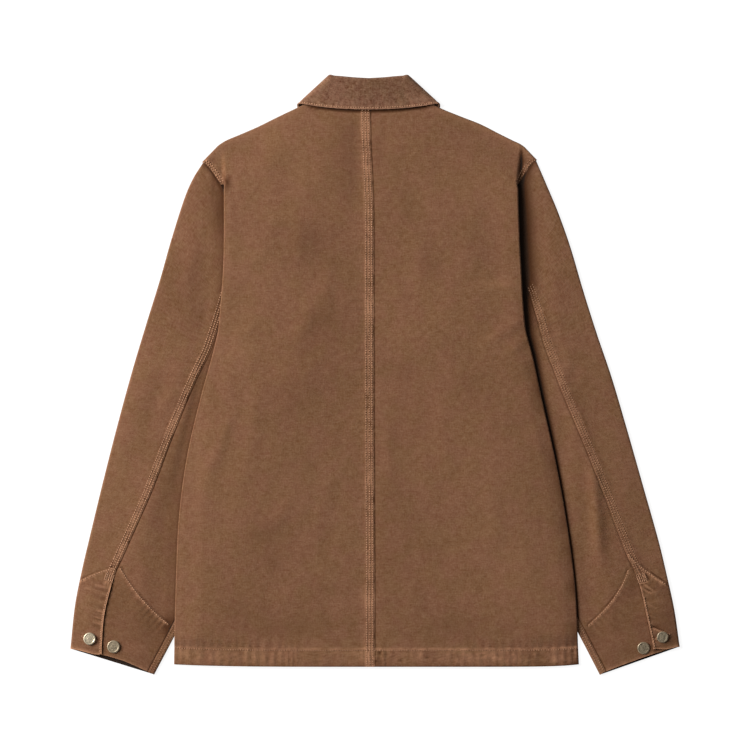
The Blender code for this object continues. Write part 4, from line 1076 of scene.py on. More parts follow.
def upper_sleeve(side, word):
    """From the back seam over the outer edge, under the arm side and up to the inner seam."""
    v = SLEEVE_ROWS[:, None]
    row = sleeve_row(side, v)
    width, seam = sleeve_width(row), row["seam"]
    near = seam - (SEAM_GAP + OVER_TOP) / width
    rest = mix(near[:, -1:], (2.2 + CLOTH / 2) / width, TO_EDGE)
    shares = np.concatenate((near, rest), axis=1)
    distance = (seam - shares) * width
    lift = FLAP_RISE * vent(v, 0.4) * (1 - smooth(distance / (UNDERLAP + 14) - 0.45))
    rise, reach = FLAP_CORNERS[side]
    bottom = np.broadcast_to(np.linspace(0.04, 0.92, 10), (len(v), 10))
    inner = 1 - (INNER_RIDGE + SEAM_GAP) / width
    band = inner + INNER_BAND / width
    parts = (
        top_point(side, v, shares, lift, rise * hump(distance, reach)),
        edge_points(side, v, 0.0, 0.02, EDGE_ANGLES),
        (*sleeve_point(side, v, bottom), np.full(bottom.shape, FLOOR_LEVEL)),
        edge_points(side, v, 1.0, -0.02, -EDGE_ANGLES),
        top_point(side, v, band),
    )
    out, y, z = (np.concatenate(values, axis=1) for values in zip(*parts))
    over, tail = np.s_[:, :shares.shape[1]], np.s_[:, -band.shape[1]:]
    shown = uncovered(side, out, y)
    distance -= SEAM_GAP
    from_inner = (band - inner) * width - SEAM_GAP
    above_vent = ramp(v - SEWN_FROM[side], -0.25, 0)
    sewn = above_vent * shown[over]
    z[over] += lapped(distance, SLEEVE_RIDGE, 0.6 * SEAM_RIDGE) * sewn
    z[tail] += 0.5 * shown[tail]
    middle = np.stack((out * side, y, z), axis=2)

    grain = sleeve_grain(side, v, out)
    along = grain[over]
    waves = puckers(along, distance - SLEEVE_RIDGE, 8.5, 9, 61)
    seams = seam_wear(distance, along, SLEEVE_RIDGE, SLEEVE_STITCHES)
    seams *= SEAM_BRIGHTNESS[side] * ramp(v, 10.6, 7.4)
    # The open flap has a stitched edge, rubbed pale and painted lighter still as a highlight, with
    # puckers that run in from it, paler on their crests and painted darker in their hollows.
    flap, pulled = 1 - above_vent, puckers(along, distance - 2, 12.5, 11, 67)
    raised, wear = np.zeros(out.shape), np.zeros(out.shape)
    raised[over] = ((quilted(distance, SLEEVE_STITCHES) + 0.24 * waves) * sewn
                    + flap * (0.50 * hump(distance, 2.0) + 0.60 * pulled))
    # The seam's puckers are paler on their crests, partly rubbing and partly painted highlight,
    # and painted shade in their hollows.
    wear[over] = ((seams + 0.22 * waves) * sewn
                  + flap * (5.0 * hump(distance, 1.5) + 0.70 * pulled))
    raised[tail] += quilted(from_inner, INNER_STITCHES) * shown[tail]
    inner_seam = 0.4 * seam_wear(from_inner, grain[tail], 8.0, INNER_STITCHES)
    wear[tail] += (inner_seam - INNER_SHADE[side]) * shown[tail]

    columns = np.arange(out.shape[1])
    on_top = np.broadcast_to(1.0 * (columns < shares.shape[1] + 3), out.shape)
    facing, rubbed = cuff_relief(side, v, out * side, y, 1)
    sunk, shade = creased(side, out * side, y)
    raised += (facing - sunk) * on_top
    edge = (3.4 + 1.6 * field(out, y, 7, 97)) * np.exp(-grain / 2.0)
    tones_and_shades = tone_of(SLEEVE_TONES_AND_SHADES[side], out * side, y)
    # Painted shade on the sleeve just below the armhole's band.
    shade_under_band = hump(grain[-1:] - grain, 2.0)
    wear += (rubbed + edge + shade + tones_and_shades - painted_fold_shadow(side, out, y) - shade_under_band) * on_top
    # Painted shadow on the sleeve's inner face near the cuff, where it shows below the upper
    # layer's edge.
    inside = -2.6 * hump(grain, 14) * (1 - on_top)
    flat = np.stack(np.broadcast_arrays(grid_lengths(middle)[:, :, 0], grain), axis=2)
    return sleeve_shell(f"sleeve_{word}_upper_cloth", side, middle, columns < shares.shape[1],
                        raised, flat, wear, inside)


def under_sleeve(side, word):
    """Between the two seams on top, with the vent's under layer at the cuff."""
    v = SLEEVE_ROWS[:, None]
    row = sleeve_row(side, v)
    width, seam = sleeve_width(row), row["seam"]
    first = seam - mix(4.0, UNDERLAP, vent(v)) / width
    last = 1 - (INNER_RIDGE + SEAM_GAP) / width
    lap = mix(first, seam + 0.6 / width, np.linspace(0, 1, 8))
    near = seam + np.array((1.4, 2.6, 4.2, 6.5)) / width
    rest = mix(near[:, -1:], last, np.linspace(0, 1, 62)[1:])
    far = last + np.array((1.2, 2.6, 4.5)) / width
    shares = np.concatenate((lap, near, rest, far), axis=1)
    out, y, z = top_point(side, v, shares)
    shown = uncovered(side, out, y)
    from_seam = (shares - seam) * width
    from_inner = (last - shares) * width
    z -= 0.55 * ramp(from_seam, 0, -1.4) + 0.6 * ramp(from_inner, 0, -1.2)
    along = sleeve_grain(side, v, out)
    waves = (puckers(along, from_seam, 8.5, 9, 71) * (from_seam > 0)
             + puckers(along, from_inner, 8.5, 7, 73) * (from_inner > 0)) * shown
    joins = hump(from_seam, 1.2) * (1 - vent(v)) + hump(from_inner, 1.2)
    facing, rubbed = cuff_relief(side, v, out * side, y, 0)
    raised = 0.16 * waves - 0.3 * joins * shown + facing
    # Puckers are paler on their crests, partly rubbing and partly painted highlight, and painted
    # shade in their hollows; the joins are dark, and the underlap below the flap has painted
    # shade.
    wear = 0.16 * waves - JOINS[side] * hump(from_seam, 0.9) - 1.4 * hump(from_inner, 1.0)
    wear += rubbed - 0.8 * ramp(from_seam, 0, -2) * vent(v)
    wear += (2.8 + 1.2 * field(out, y, 7, 98)) * np.exp(-along / 2.0)
    wear += tone_of(SLEEVE_TONES_AND_SHADES[side], out * side, y) - painted_fold_shadow(side, out, y)
    flat = np.stack((from_seam, along), axis=2)
    return sleeve_shell(f"sleeve_{word}_under_cloth", -side, np.stack((out * side, y, z), axis=2),
                        slice(None), raised, flat, wear, np.zeros(out.shape))


# ---- Pieces: the collar ----

COLLAR_STATIONS = np.concatenate((np.linspace(0, 3, 31), np.linspace(3, 9, 61)[1:],
                                  np.linspace(9, 13, 31)[1:]))
ROLL_ANGLES = np.linspace(-75, 90, 12)
LEAF_STEPS = np.concatenate((np.linspace(0, 0.9, 20)[1:], (0.925, 0.95, 0.975, 1.0)))


def unit(v):
    return v / np.maximum(np.linalg.norm(v, axis=-1, keepdims=True), 1e-9)


def collar_sections(side):
    """Middle points across the collar, one row a station, from neck seam to leaf edge."""
    index = np.arange(len(COLLAR["turn"]))
    at = {key: curve(index, COLLAR[key], COLLAR_STATIONS) for key in COLLAR}
    neck = np.stack((at["neck_out"], at["neck_y"], at["neck_z"]), axis=1)
    roll = np.stack((at["roll_out"], at["roll_y"], at["neck_z"]), axis=1)
    leaf = np.stack((at["leaf_out"], at["leaf_y"], at["neck_z"]), axis=1)
    rise, fall = unit(roll - neck), unit(leaf - roll)
    tip = unit(rise - fall)
    turn = np.radians(at["turn"])
    over = np.stack((np.sin(turn) * tip[:, 1], -np.sin(turn) * tip[:, 0], np.cos(turn)), axis=1)
    radius = at["radius"][:, None]
    stand = roll - rise * (radius + COLLAR_CLOTH / 2)
    section = [mix(neck, stand, t) for t in np.linspace(0, 1, 6)]
    for degrees in ROLL_ANGLES:
        angle = math.radians(degrees)
        section.append(stand + tip * radius * math.cos(angle)
                       + over * radius * (1 + math.sin(angle)))
    start = section[-1]
    end = leaf.copy()
    end[:, 2] = at["leaf_z"]
    for t in LEAF_STEPS:
        place = mix(start, end, t)
        place[:, 2] = mix(start[:, 2], end[:, 2], smooth(t))
        section.append(place)
    grid = np.stack(section, axis=1)
    grid[:, :, 0] = NECK_CENTRE + grid[:, :, 0] * side
    return grid


def collar_grid():
    return np.concatenate((collar_sections(LEFT)[::-1], collar_sections(RIGHT)[1:]))


def collar_piece():
    middle = collar_grid()
    flat = grid_lengths(middle)
    flat = np.stack((np.broadcast_to(flat[:, -1:, 1], flat.shape[:2]), flat[:, :, 0]), axis=2)
    x, y = middle[:, :, 0], middle[:, :, 1]
    to_edge = flat[:, -1:, 1] - flat[:, :, 1]
    over = np.arange(middle.shape[1]) > 12
    waves = puckers(flat[:, :, 0], to_edge - 2.5, 7.5, 15, 81) * over
    raised = 0.34 * waves - 0.32 * hump(to_edge, 1.1, 4.6) * over
    raised += 0.30 * field(x, y, 42, 83) * over * ramp(to_edge, 0, 10)
    streaks = field(flat[:, :, 0], to_edge / 3, 1.8, 85)
    lower = 0.40 + 0.60 * ramp(to_edge, 26, 10)
    ends = ramp(np.abs(x - NECK_CENTRE), 34, 74)
    # A pale rubbed leaf edge and rubbed streaks, puckers paler on their crests (partly rubbing and
    # partly painted highlight) and painted darker in their hollows, and painted shade along the
    # top of the roll, less at its ends.
    wear = 1.6 * hump(to_edge, 1.2, 0.8) * over
    wear += over * lower * (0.66 * streaks + 0.14 * waves + 0.22 + 0.34 * ends)
    wear -= (0.34 - 0.2 * ends) * hump(flat[:, :, 1], 12.0, 38)
    return shell("collar_cloth", middle, 1, COLLAR_CLOTH, raised, True, flat, wear)


# ---- Materials ----

class Nodes:
    """Adds nodes to a tree. Each method gives the new node's output."""

    def __init__(self, tree):
        self.tree = tree

    def put(self, target, inputs):
        """Sets a node's inputs by name, or by number as i0, i1 and so on: a value or a link.

        A name that starts with _ is one of the node's own settings.
        """
        for key, value in inputs.items():
            if key.startswith("_"):
                setattr(target, key[1:], value)
                continue
            socket = target.inputs[int(key[1:]) if key[1:].isdigit() else key.replace("_", " ")]
            if isinstance(value, bpy.types.NodeSocket):
                self.tree.links.new(value, socket)
            else:
                socket.default_value = value

    def add(self, kind, output=0, **inputs):
        made = self.tree.nodes.new(kind)
        self.put(made, inputs)
        return made.outputs[output]

    def maths(self, operation, a, b, clamp=False):
        return self.add("ShaderNodeMath", _operation=operation, _use_clamp=clamp, i0=a, i1=b)

    def times(self, a, b, clamp=False):
        return self.maths("MULTIPLY", a, b, clamp)

    def total(self, first, *rest):
        for each in rest:
            first = self.maths("ADD", first, each)
        return first

    def vector(self, operation, **inputs):
        return self.add("ShaderNodeVectorMath", _operation=operation, **inputs)

    def blend(self, factor, a, b):
        return self.add("ShaderNodeMix", 2, _data_type="RGBA", i0=factor, i6=a, i7=b)


class Finish(Nodes):
    """A new material, with the patterns that the jacket's finishes share."""

    def __init__(self, name):
        self.material = bpy.data.materials.new(name)
        self.material.use_nodes = True
        super().__init__(self.material.node_tree)
        self.place = self.add("ShaderNodeTexCoord", "Object")

    def attribute(self, name):
        return self.add("ShaderNodeAttribute", "Fac", _attribute_name=name)

    def noise(self, at, scale, detail, roughness=0.5):
        return self.add("ShaderNodeTexNoise", "Fac", Vector=at, Scale=scale, Detail=detail,
                        Roughness=roughness)

    def remap(self, value, low, high, to_low, to_high):
        return self.add("ShaderNodeMapRange", Value=value, From_Min=low, From_Max=high,
                        To_Min=to_low, To_Max=to_high)

    def spots(self, at, scale, detail, roughness, low=0.3, high=0.7, least=0.0, most=1.0):
        """Noise stretched so that what lies between low and high runs from least to most."""
        return self.remap(self.noise(at, scale, detail, roughness), low, high, least, most)

    def slubs(self, at, scale):
        """Thick and thin places in the threads, between -1 and 1."""
        stretched = self.add("ShaderNodeMapping", Vector=at, Scale=scale)
        return self.spots(stretched, 1, 2, 0.6, least=-1)

    def bump(self, height, strength, distance):
        return self.add("ShaderNodeBump", Strength=strength, Distance=distance, Height=height)

    def done(self, **inputs):
        """Sets the shader's inputs, and gives the finished material."""
        self.put(self.tree.nodes["Principled BSDF"], inputs)
        return self.material


def shaded(colour, *factors):
    """A colour times one factor, or times one for each of red, green and blue."""
    if len(factors) == 1:
        factors *= 3
    return (*(min(c * factor, 1.0) for c, factor in zip(colour, factors)), 1.0)


def canvas_material(name, colour, weave, coarse=1.0):
    """Washed cotton canvas: uneven dye, slubs both ways, plain weave, pale rubbed edges, and the
    painted highlights, shade and deep shadow that its wear and painted light attribute carries.
    """
    mat = Finish(name)
    place, cloth = mat.place, mat.add("ShaderNodeUVMap", _uv_map="cloth")
    wear = mat.attribute("wear")

    red, olive = shaded(colour, 1.025, 0.99, 1.03), shaded(colour, 0.975, 1.0, 0.92)
    base = mat.blend(mat.spots(place, 34, 3, 0.55, 0.40, 0.60), olive, red)
    broad = mat.spots(place, 9, 2, 0.5, least=0.97, most=1.03)
    grain = mat.total(mat.times(mat.slubs(cloth, (560, 150, 1)), 0.75),
                      mat.slubs(cloth, (130, 520, 1)),
                      mat.spots(cloth, 430, 2, 0.6, least=-1),
                      mat.times(mat.spots(place, 120, 2, 0.5, least=-1), 0.8))
    tinted = mat.vector("MULTIPLY_ADD", i0=grain, i1=shaded((0.0195, 0.0140, 0.0094), coarse)[:3],
                        i2=mat.vector("SCALE", Vector=base, Scale=broad))
    broken = mat.spots(cloth, 420, 3, 0.6, 0.30, 0.68, 0.45, 1.25)
    # The wear and painted light attribute mixes towards a pale colour above 0, for rubbed cloth
    # and painted highlights, towards a dark brown below 0, for dirt and painted shade, and towards
    # near black below -1.3, which is painted deep shadow.
    rubbed = mat.times(mat.times(mat.maths("MAXIMUM", wear, 0.0), broken), 0.36, True)
    dirt_and_painted_shade = mat.times(mat.maths("MINIMUM", wear, 0.0), -0.9, True)
    painted_deep_shadow = mat.remap(wear, -1.3, -2.4, 0.0, 1.0)
    worn = mat.blend(rubbed, tinted, shaded(colour, 2.22, 2.38, 2.65))
    worn = mat.blend(dirt_and_painted_shade, worn, shaded(colour, 0.39, 0.28, 0.14))
    worn = mat.blend(painted_deep_shadow, worn, shaded(colour, 0.11))

    waves = [mat.add("ShaderNodeTexWave", "Fac", _bands_direction=way, Vector=cloth,
                     Scale=0.5 / weave, Distortion=0.6, Detail=1.0)
             for way in "XY"]
    relief = mat.total(mat.times(mat.total(*waves), 0.5), mat.times(grain, 0.25),
                       mat.times(mat.noise(place, 260, 3, 0.6), 1.2))
    return mat.done(Base_Color=worn, Normal=mat.bump(relief, 0.55, 0.00025),
                    Roughness=mat.spots(place, 120, 2, 0.5, least=0.86, most=0.97),
                    Specular_IOR_Level=0.18, Sheen_Weight=0.06, Sheen_Roughness=0.6)


def thread_material(name, colour):
    """Sewing thread: a fine twist, faded unevenly along its length."""
    mat = Finish(name)
    faded = mat.blend(mat.spots(mat.place, 90, 3, 0.6), shaded(colour, 0.78), shaded(colour, 1.22))
    twist = mat.noise(mat.place, 3200, 2)
    return mat.done(Base_Color=faded, Normal=mat.bump(twist, 0.4, 0.0001), Roughness=0.75,
                    Specular_IOR_Level=0.25)


def stitch_shade_material(name, colour):
    """Dark dots of painted shade between two stitches, where the thread pulls the canvas in."""
    mat = Finish(name)
    uneven = mat.spots(mat.place, 160, 2, 0.6)
    deep = shaded(colour, 0.42, 0.29, 0.14)
    return mat.done(Base_Color=mat.blend(uneven, deep, shaded(colour, 0.85)), Roughness=0.95,
                    Specular_IOR_Level=0.1)


def brass_material(name, colour):
    """Antique brass: blotchy, finely scratched, and duller and darker where its tarnish is higher.
    """
    mat = Finish(name)
    blotches = mat.spots(mat.place, 420, 3, 0.65, 0.35, 0.65)
    clean = mat.blend(blotches, shaded(colour, 0.40), shaded(colour, 1.15))
    dull = shaded(colour, 0.60, 0.47, 0.36)
    dull = mat.blend(blotches, shaded(dull, 0.45), dull)
    scratches = mat.noise(mat.place, 1500, 3, 0.6)
    return mat.done(Base_Color=mat.blend(mat.attribute("tarnish"), clean, dull),
                    Roughness=mat.remap(blotches, 0, 1, 0.52, 0.30), Metallic=0.6,
                    Normal=mat.bump(scratches, 0.35, 0.00012))


def floor_material(name, colour):
    """A pale even surface that lights the jacket's edges a little from below."""
    return Finish(name).done(Base_Color=(*colour, 1.0), Roughness=0.9, Specular_IOR_Level=0.0,
                             Emission_Color=(1.0, 1.0, 1.0, 1.0), Emission_Strength=0.90)


def material_named(name):
    """The finish with this name, made on its first use."""
    props = bpy.context.scene.jacket_finish
    makers = {
        "washed_canvas": (canvas_material, props.canvas, props.weave),
        "collar_washed_canvas": (canvas_material, props.collar_canvas, props.weave, 1.7),
        "sewing_thread": (thread_material, props.thread),
        # A darker copy of the thread, for the rows on the right-hand side and the left inner seam.
        "worn_sewing_thread": (thread_material, shaded(props.thread, 0.85)),
        "needle_hole": (stitch_shade_material, props.canvas),
        "antique_brass": (brass_material, props.brass),
        "pale_floor": (floor_material, props.floor),
    }
    maker, *values = makers[name]
    return bpy.data.materials.get(name) or maker(name, *values)


def dress(obj, material, slot, *nodes):
    """Gives a piece its material, puts it under the root, and hides the parts that it stands for.
    """
    obj.data.materials.clear()
    obj.data.materials.append(material_named(material))
    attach(obj, "root")
    if nodes:
        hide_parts(*nodes)


# ---- Stitches ----

# The inputs of the tree of stitches, apart from its paths: each one's kind and first value.
STITCH_INPUTS = (
    ("Pitch", "Float", 0.003), ("Length", "Float", 0.0024), ("Width", "Float", 0.0007),
    ("Height", "Float", 0.0007), ("Turn", "Float", 0.0), ("Unevenness", "Float", 0.15),
    ("Seed", "Int", 1), ("Thread", "Material", None),
)


def stitch_tree():
    """Geometry nodes: one rounded stitch at each step along every path of the mesh."""
    tree = bpy.data.node_groups.get("stitch_rows")
    if tree:
        return tree
    tree = bpy.data.node_groups.new("stitch_rows", "GeometryNodeTree")
    for way, name in (("INPUT", "Paths"), ("OUTPUT", "Stitches")):
        tree.interface.new_socket(name, in_out=way, socket_type="NodeSocketGeometry")
    for name, kind, value in STITCH_INPUTS:
        socket = tree.interface.new_socket(name, in_out="INPUT", socket_type=f"NodeSocket{kind}")
        socket.default_value = value
    given = tree.nodes.new("NodeGroupInput").outputs
    add = Nodes(tree).add
    curves = add("GeometryNodeMeshToCurve", Mesh=given["Paths"])
    spaced = add("GeometryNodeResampleCurve", _mode="LENGTH", Curve=curves, Length=given["Pitch"])
    tangent = add("GeometryNodeInputTangent")
    facing = add("FunctionNodeAlignRotationToVector", _axis="X", Vector=tangent)
    upright = add("FunctionNodeAlignRotationToVector", _axis="Z", _pivot_axis="X",
                  Rotation=facing, Vector=(0.0, 0.0, 1.0))
    spin = add("FunctionNodeEulerToRotation", Euler=add("ShaderNodeCombineXYZ", Z=given["Turn"]))
    turned = add("FunctionNodeRotateRotation", _rotation_space="LOCAL", Rotation=upright,
                 Rotate_By=spin)
    ball = add("GeometryNodeMeshUVSphere", Segments=6, Rings=4, Radius=0.5)
    size = add("ShaderNodeCombineXYZ", X=given["Length"], Y=given["Width"], Z=given["Height"])
    stitch = add("GeometryNodeTransform", Geometry=ball, Scale=size)
    least, most = (add("ShaderNodeMath", _operation=operation, i0=1.0, i1=given["Unevenness"])
                   for operation in ("SUBTRACT", "ADD"))
    vary = add("FunctionNodeRandomValue", 1, _data_type="FLOAT", Seed=given["Seed"], i2=least,
               i3=most)
    placed = add("GeometryNodeInstanceOnPoints", Points=spaced, Instance=stitch, Rotation=turned,
                 Scale=vary)
    real = add("GeometryNodeRealizeInstances", Geometry=placed)
    done = add("GeometryNodeSetMaterial", Geometry=real, Material=given["Thread"])
    tree.links.new(done, tree.nodes.new("NodeGroupOutput").inputs[0])
    return tree


def stitched(name, paths, values):
    """A mesh of stitches along paths of points in metres."""
    points, edges = [], []
    for path in paths:
        first = len(points)
        points += [tuple(p) for p in path]
        edges += [(k, k + 1) for k in range(first, len(points) - 1)]
    mesh = bpy.data.meshes.new(name + "_paths")
    mesh.from_pydata(points, edges, [])
    guide = linked(mesh.name, mesh)
    modifier = guide.modifiers.new("stitches", "NODES")
    modifier.node_group = stitch_tree()
    for item in modifier.node_group.interface.items_tree:
        if item.name in values:
            modifier[item.identifier] = values[item.name]
    graph = bpy.context.evaluated_depsgraph_get()
    made = bpy.data.meshes.new_from_object(guide.evaluated_get(graph))
    made.name = name
    made.shade_smooth()
    bpy.data.objects.remove(guide)
    bpy.data.meshes.remove(mesh)
    return linked(name, made)


LEAST_COVER = 0.6 * MM     # cloth that is this far above a stitch row hides it


def surface_of(obj):
    """A search tree of an object's faces."""
    mesh = obj.data
    corners = [tuple(v.co) for v in mesh.vertices]
    return BVHTree.FromPolygons(corners, [tuple(p.vertices) for p in mesh.polygons])


def laid(path, own, others, lift=0.12):
    """Runs of a path, in metres, that lie on the cloth and that no other piece covers."""
    runs, run = [], []
    down = Vector((0, 0, -1))
    for x, y in path:
        above = Vector((x * MM, y * MM, 0.2))
        hit, slope = own.ray_cast(above, down)[:2]
        if hit is None or any(
                other.ray_cast(above, down, above.z - hit.z - LEAST_COVER)[0] for other in others):
            runs.append(run)
            run = []
        else:
            run.append(hit + slope * lift * MM)
    return [each for each in (*runs, run) if len(each) > 2]


def dense(points, step=1.5):
    """More points along a run of (x, y) points, one every step or so."""
    points = np.asarray(points, float)
    lengths = np.concatenate(([0], np.cumsum(np.hypot(*np.diff(points, axis=0).T))))
    at = np.arange(0, lengths[-1], step)
    return np.stack([np.interp(at, lengths, values) for values in points.T], axis=1)


def on_side(side, out, y):
    return np.stack((out * side, y), axis=1)


def centre_rows():
    y = np.linspace(HEM_ROW_Y - HEM_SAG + 1, 361, 400)
    start = seam_x(np.minimum(y, SEAM_TOP)) - SEAM_GAP / 2
    return [on_side(1, start - d, y) for d in CENTRE_ROWS]


def hem_row(side):
    out = np.linspace(0.5, fold_out(side, -366) + 1, 200)
    return on_side(side, out, hem_edge(side, out) + HEM_LINE)


def sleeve_line(side, v, distance, inner=False):
    """A line along a sleeve, at a distance from its back seam or its inner seam."""
    row = sleeve_row(side, v)
    seam = 1.0 if inner else row["seam"]
    return on_side(side, *sleeve_point(side, v, seam - distance / sleeve_width(row)))


def sleeve_seam_rows(side):
    v = np.linspace(SEWN_FROM[side], 9, 300)
    return [sleeve_line(side, v, SEAM_GAP + d) for d in SLEEVE_STITCHES]


def inner_seam_rows(side):
    v = np.linspace(0.02, 3.0, 200)
    return [sleeve_line(side, v, INNER_RIDGE - SEAM_GAP - d, True) for d in INNER_STITCHES]


def flap_row(side):
    return sleeve_line(side, np.linspace(0.06, VENT_TOP - 0.1, 80), SEAM_GAP + 1.9)


def bartack_rows(side):
    """Short rows across the seam where the vent ends."""
    across = SEAM_GAP + np.linspace(0.5, SLEEVE_RIDGE + 0.5, 12)
    return [sleeve_line(side, np.full(len(across), v), across)
            for v in np.linspace(SEWN_FROM[side] - 0.02, SEWN_FROM[side] + 0.18, 6)]


def armhole_rows(side):
    share = np.linspace(0.0, 0.125, 40)
    return [on_side(side, *armhole(side, share, -d)) for d in ARMHOLE_STITCHES]


def collar_row():
    grid = collar_grid()
    edge, inside = grid[:, -1], grid[:, -5]
    return (edge + unit(inside - edge) * 2.4)[:, :2]


def buttonhole(side, node_name):
    """A stitched slot beneath a flap's button, level with the cuff."""
    low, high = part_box(node_name)
    centre = (low + high) / 2 / MM
    cuff = sleeve_row(side, 0)
    lean = math.atan2(cuff["outer_y"] - cuff["inner_y"],
                      side * (cuff["outer_out"] - cuff["inner_out"]))
    turn = np.linspace(0, 2 * math.pi, 40)
    along, across = 10.6 * np.cos(turn), 1.7 * np.sin(turn)
    return on_side(1, centre.x + along * math.cos(lean) - across * math.sin(lean),
                   centre.y + along * math.sin(lean) + across * math.cos(lean))


# ---- Buttons ----

# The head in shares of its radius and height, from the post out to the rim and in again.
BUTTON_PROFILE = (
    (0.0, 0.0), (0.37, 0.0), (0.37, 0.30), (0.80, 0.32), (0.93, 0.40), (0.99, 0.52),
    (1.0, 0.64), (0.985, 0.78), (0.94, 0.90), (0.885, 0.97), (0.83, 1.0), (0.775, 0.965),
    (0.74, 0.88), (0.70, 0.82), (0.66, 0.83), (0.58, 0.87), (0.50, 0.895), (0.46, 0.87),
    (0.43, 0.87), (0.39, 0.905), (0.25, 0.935), (0.12, 0.95), (0.0, 0.955),
)
BUTTON_SIDES = 72
# How each button leans (in x and in y), how much of its place it fills, and how dull it is.
BUTTONS = named_rows("node lean_x lean_y fill tarnish", (
    ("cuff_button_left_1", 0.04, -0.06, 0.97, 0.0),
    ("cuff_button_left_2", -0.05, 0.04, 1.0, 0.35),
    ("cuff_button_right_1", -0.15, 0.15, 0.89, 0.30),
    ("cuff_button_right_2", -0.13, 0.12, 0.97, 0.42),
))


def button_piece(button, seed):
    """A tack button with a raised rim, a ring and a softly hammered face."""
    low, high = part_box(button["node"])
    centre, height = (low + high) / 2, high.z - low.z
    radius = (high.x - low.x) / 2 * button["fill"]
    angle = np.linspace(0, 2 * math.pi, BUTTON_SIDES, endpoint=False)
    slope = button["lean_x"] * np.cos(angle) + button["lean_y"] * np.sin(angle)
    points, rings = [], []
    for share, rise in BUTTON_PROFILE:
        first, ring = len(points), radius * share
        if share == 0:
            rings.append([first] * BUTTON_SIDES)
            points.append((centre.x, centre.y, low.z + height * rise))
            continue
        rings.append(range(first, first + BUTTON_SIDES))
        x, y = ring * np.cos(angle), ring * np.sin(angle)
        dents = 0.045 * field(2 * x / MM, 2 * y / MM, 2.2, seed) * (share < 0.75 and rise > 0.8)
        z = low.z + height * (rise + dents) + ring * slope * rise
        points += zip(centre.x + x, centre.y + y, z)
    faces = []
    for inner, outer in zip(rings, rings[1:]):
        for k in range(BUTTON_SIDES):
            n = (k + 1) % BUTTON_SIDES
            faces.append(tuple(dict.fromkeys((inner[n], inner[k], outer[k], outer[n]))))
    mesh = bpy.data.meshes.new(button["node"] + "_head")
    mesh.from_pydata(points, [], faces)
    dulled = np.full(len(points), button["tarnish"])
    mesh.attributes.new("tarnish", "FLOAT", "POINT").data.foreach_set("value", dulled)
    mesh.shade_smooth()
    mesh.set_sharp_from_angle(angle=math.radians(40))
    return linked(mesh.name, mesh)


# ---- The add-on's parts ----

class JacketFinish(bpy.types.PropertyGroup):
    """Colours and fine sizes of the jacket's finish."""
    canvas: bpy.props.FloatVectorProperty(
        name="Canvas", description="Colour of the body and sleeves", subtype="COLOR",
        size=3, min=0, max=1, default=(0.190, 0.088, 0.0435))
    collar_canvas: bpy.props.FloatVectorProperty(
        name="Collar canvas", description="Colour of the collar", subtype="COLOR",
        size=3, min=0, max=1, default=(0.172, 0.082, 0.0445))
    thread: bpy.props.FloatVectorProperty(
        name="Thread", description="Colour of the sewing thread", subtype="COLOR",
        size=3, min=0, max=1, default=(0.395, 0.213, 0.123))
    brass: bpy.props.FloatVectorProperty(
        name="Brass", description="Colour of the buttons", subtype="COLOR",
        size=3, min=0, max=1, default=(0.66, 0.56, 0.40))
    floor: bpy.props.FloatVectorProperty(
        name="Floor", description="Colour of the surface below", subtype="COLOR",
        size=3, min=0, max=1, default=(0.20, 0.20, 0.20))
    weave: bpy.props.FloatProperty(
        name="Weave", description="Distance between threads of the canvas", subtype="DISTANCE",
        default=0.0009, min=0.0004, max=0.003)
    stitch_pitch: bpy.props.FloatProperty(
        name="Stitch pitch", description="Distance between stitches, in millimetres",
        default=3.25, min=1.5, max=6.0)


class StageSizes(bpy.types.PropertyGroup):
    """The camera's frame and the lights."""
    frame_width: bpy.props.FloatProperty(
        name="Frame width", description="Width of the picture at the surface", subtype="DISTANCE",
        default=1.005, min=0.3, max=3.0)
    lens: bpy.props.FloatProperty(
        name="Lens", description="Focal length of the camera, in millimetres",
        default=200.0, min=50, max=400)
    key_height: bpy.props.FloatProperty(
        name="Key height", description="How high the key light stands over the horizon",
        subtype="ANGLE", default=math.radians(31), min=math.radians(8), max=math.radians(80))
    key_power: bpy.props.FloatProperty(
        name="Key power", description="Power of the key light, in watts", default=480.0, min=0)
    fill: bpy.props.FloatProperty(
        name="Fill", description="Brightness of the light from all round", default=0.16, min=0)


class MakeBack(bpy.types.Operator):
    """Makes the two halves of the back, with the centre seam and the hem"""
    bl_idname = "jacket.make_back"
    bl_label = "Back"

    def execute(self, context):
        for side, word in SIDES:
            dress(back_panel(side, word), "washed_canvas", "canvas", f"back_{word}")
        return {"FINISHED"}


class MakeFronts(bpy.types.Operator):
    """Makes the two fronts, which lie face down"""
    bl_idname = "jacket.make_fronts"
    bl_label = "Fronts"

    def execute(self, context):
        for side, word in SIDES:
            dress(front_panel(side, word), "washed_canvas", "canvas", f"front_{word}")
        return {"FINISHED"}


class MakeSleeves(bpy.types.Operator):
    """Makes the two panels of each sleeve, with the cuff's vent"""
    bl_idname = "jacket.make_sleeves"
    bl_label = "Sleeves"

    def execute(self, context):
        for side, word in SIDES:
            dress(upper_sleeve(side, word), "washed_canvas", "canvas", f"sleeve_{word}_upper")
            dress(under_sleeve(side, word), "washed_canvas", "canvas", f"sleeve_{word}_under")
        return {"FINISHED"}


class MakeCollar(bpy.types.Operator):
    """Makes the turned collar"""
    bl_idname = "jacket.make_collar"
    bl_label = "Collar"

    def execute(self, context):
        dress(collar_piece(), "collar_washed_canvas", "collar_canvas", "collar")
        return {"FINISHED"}


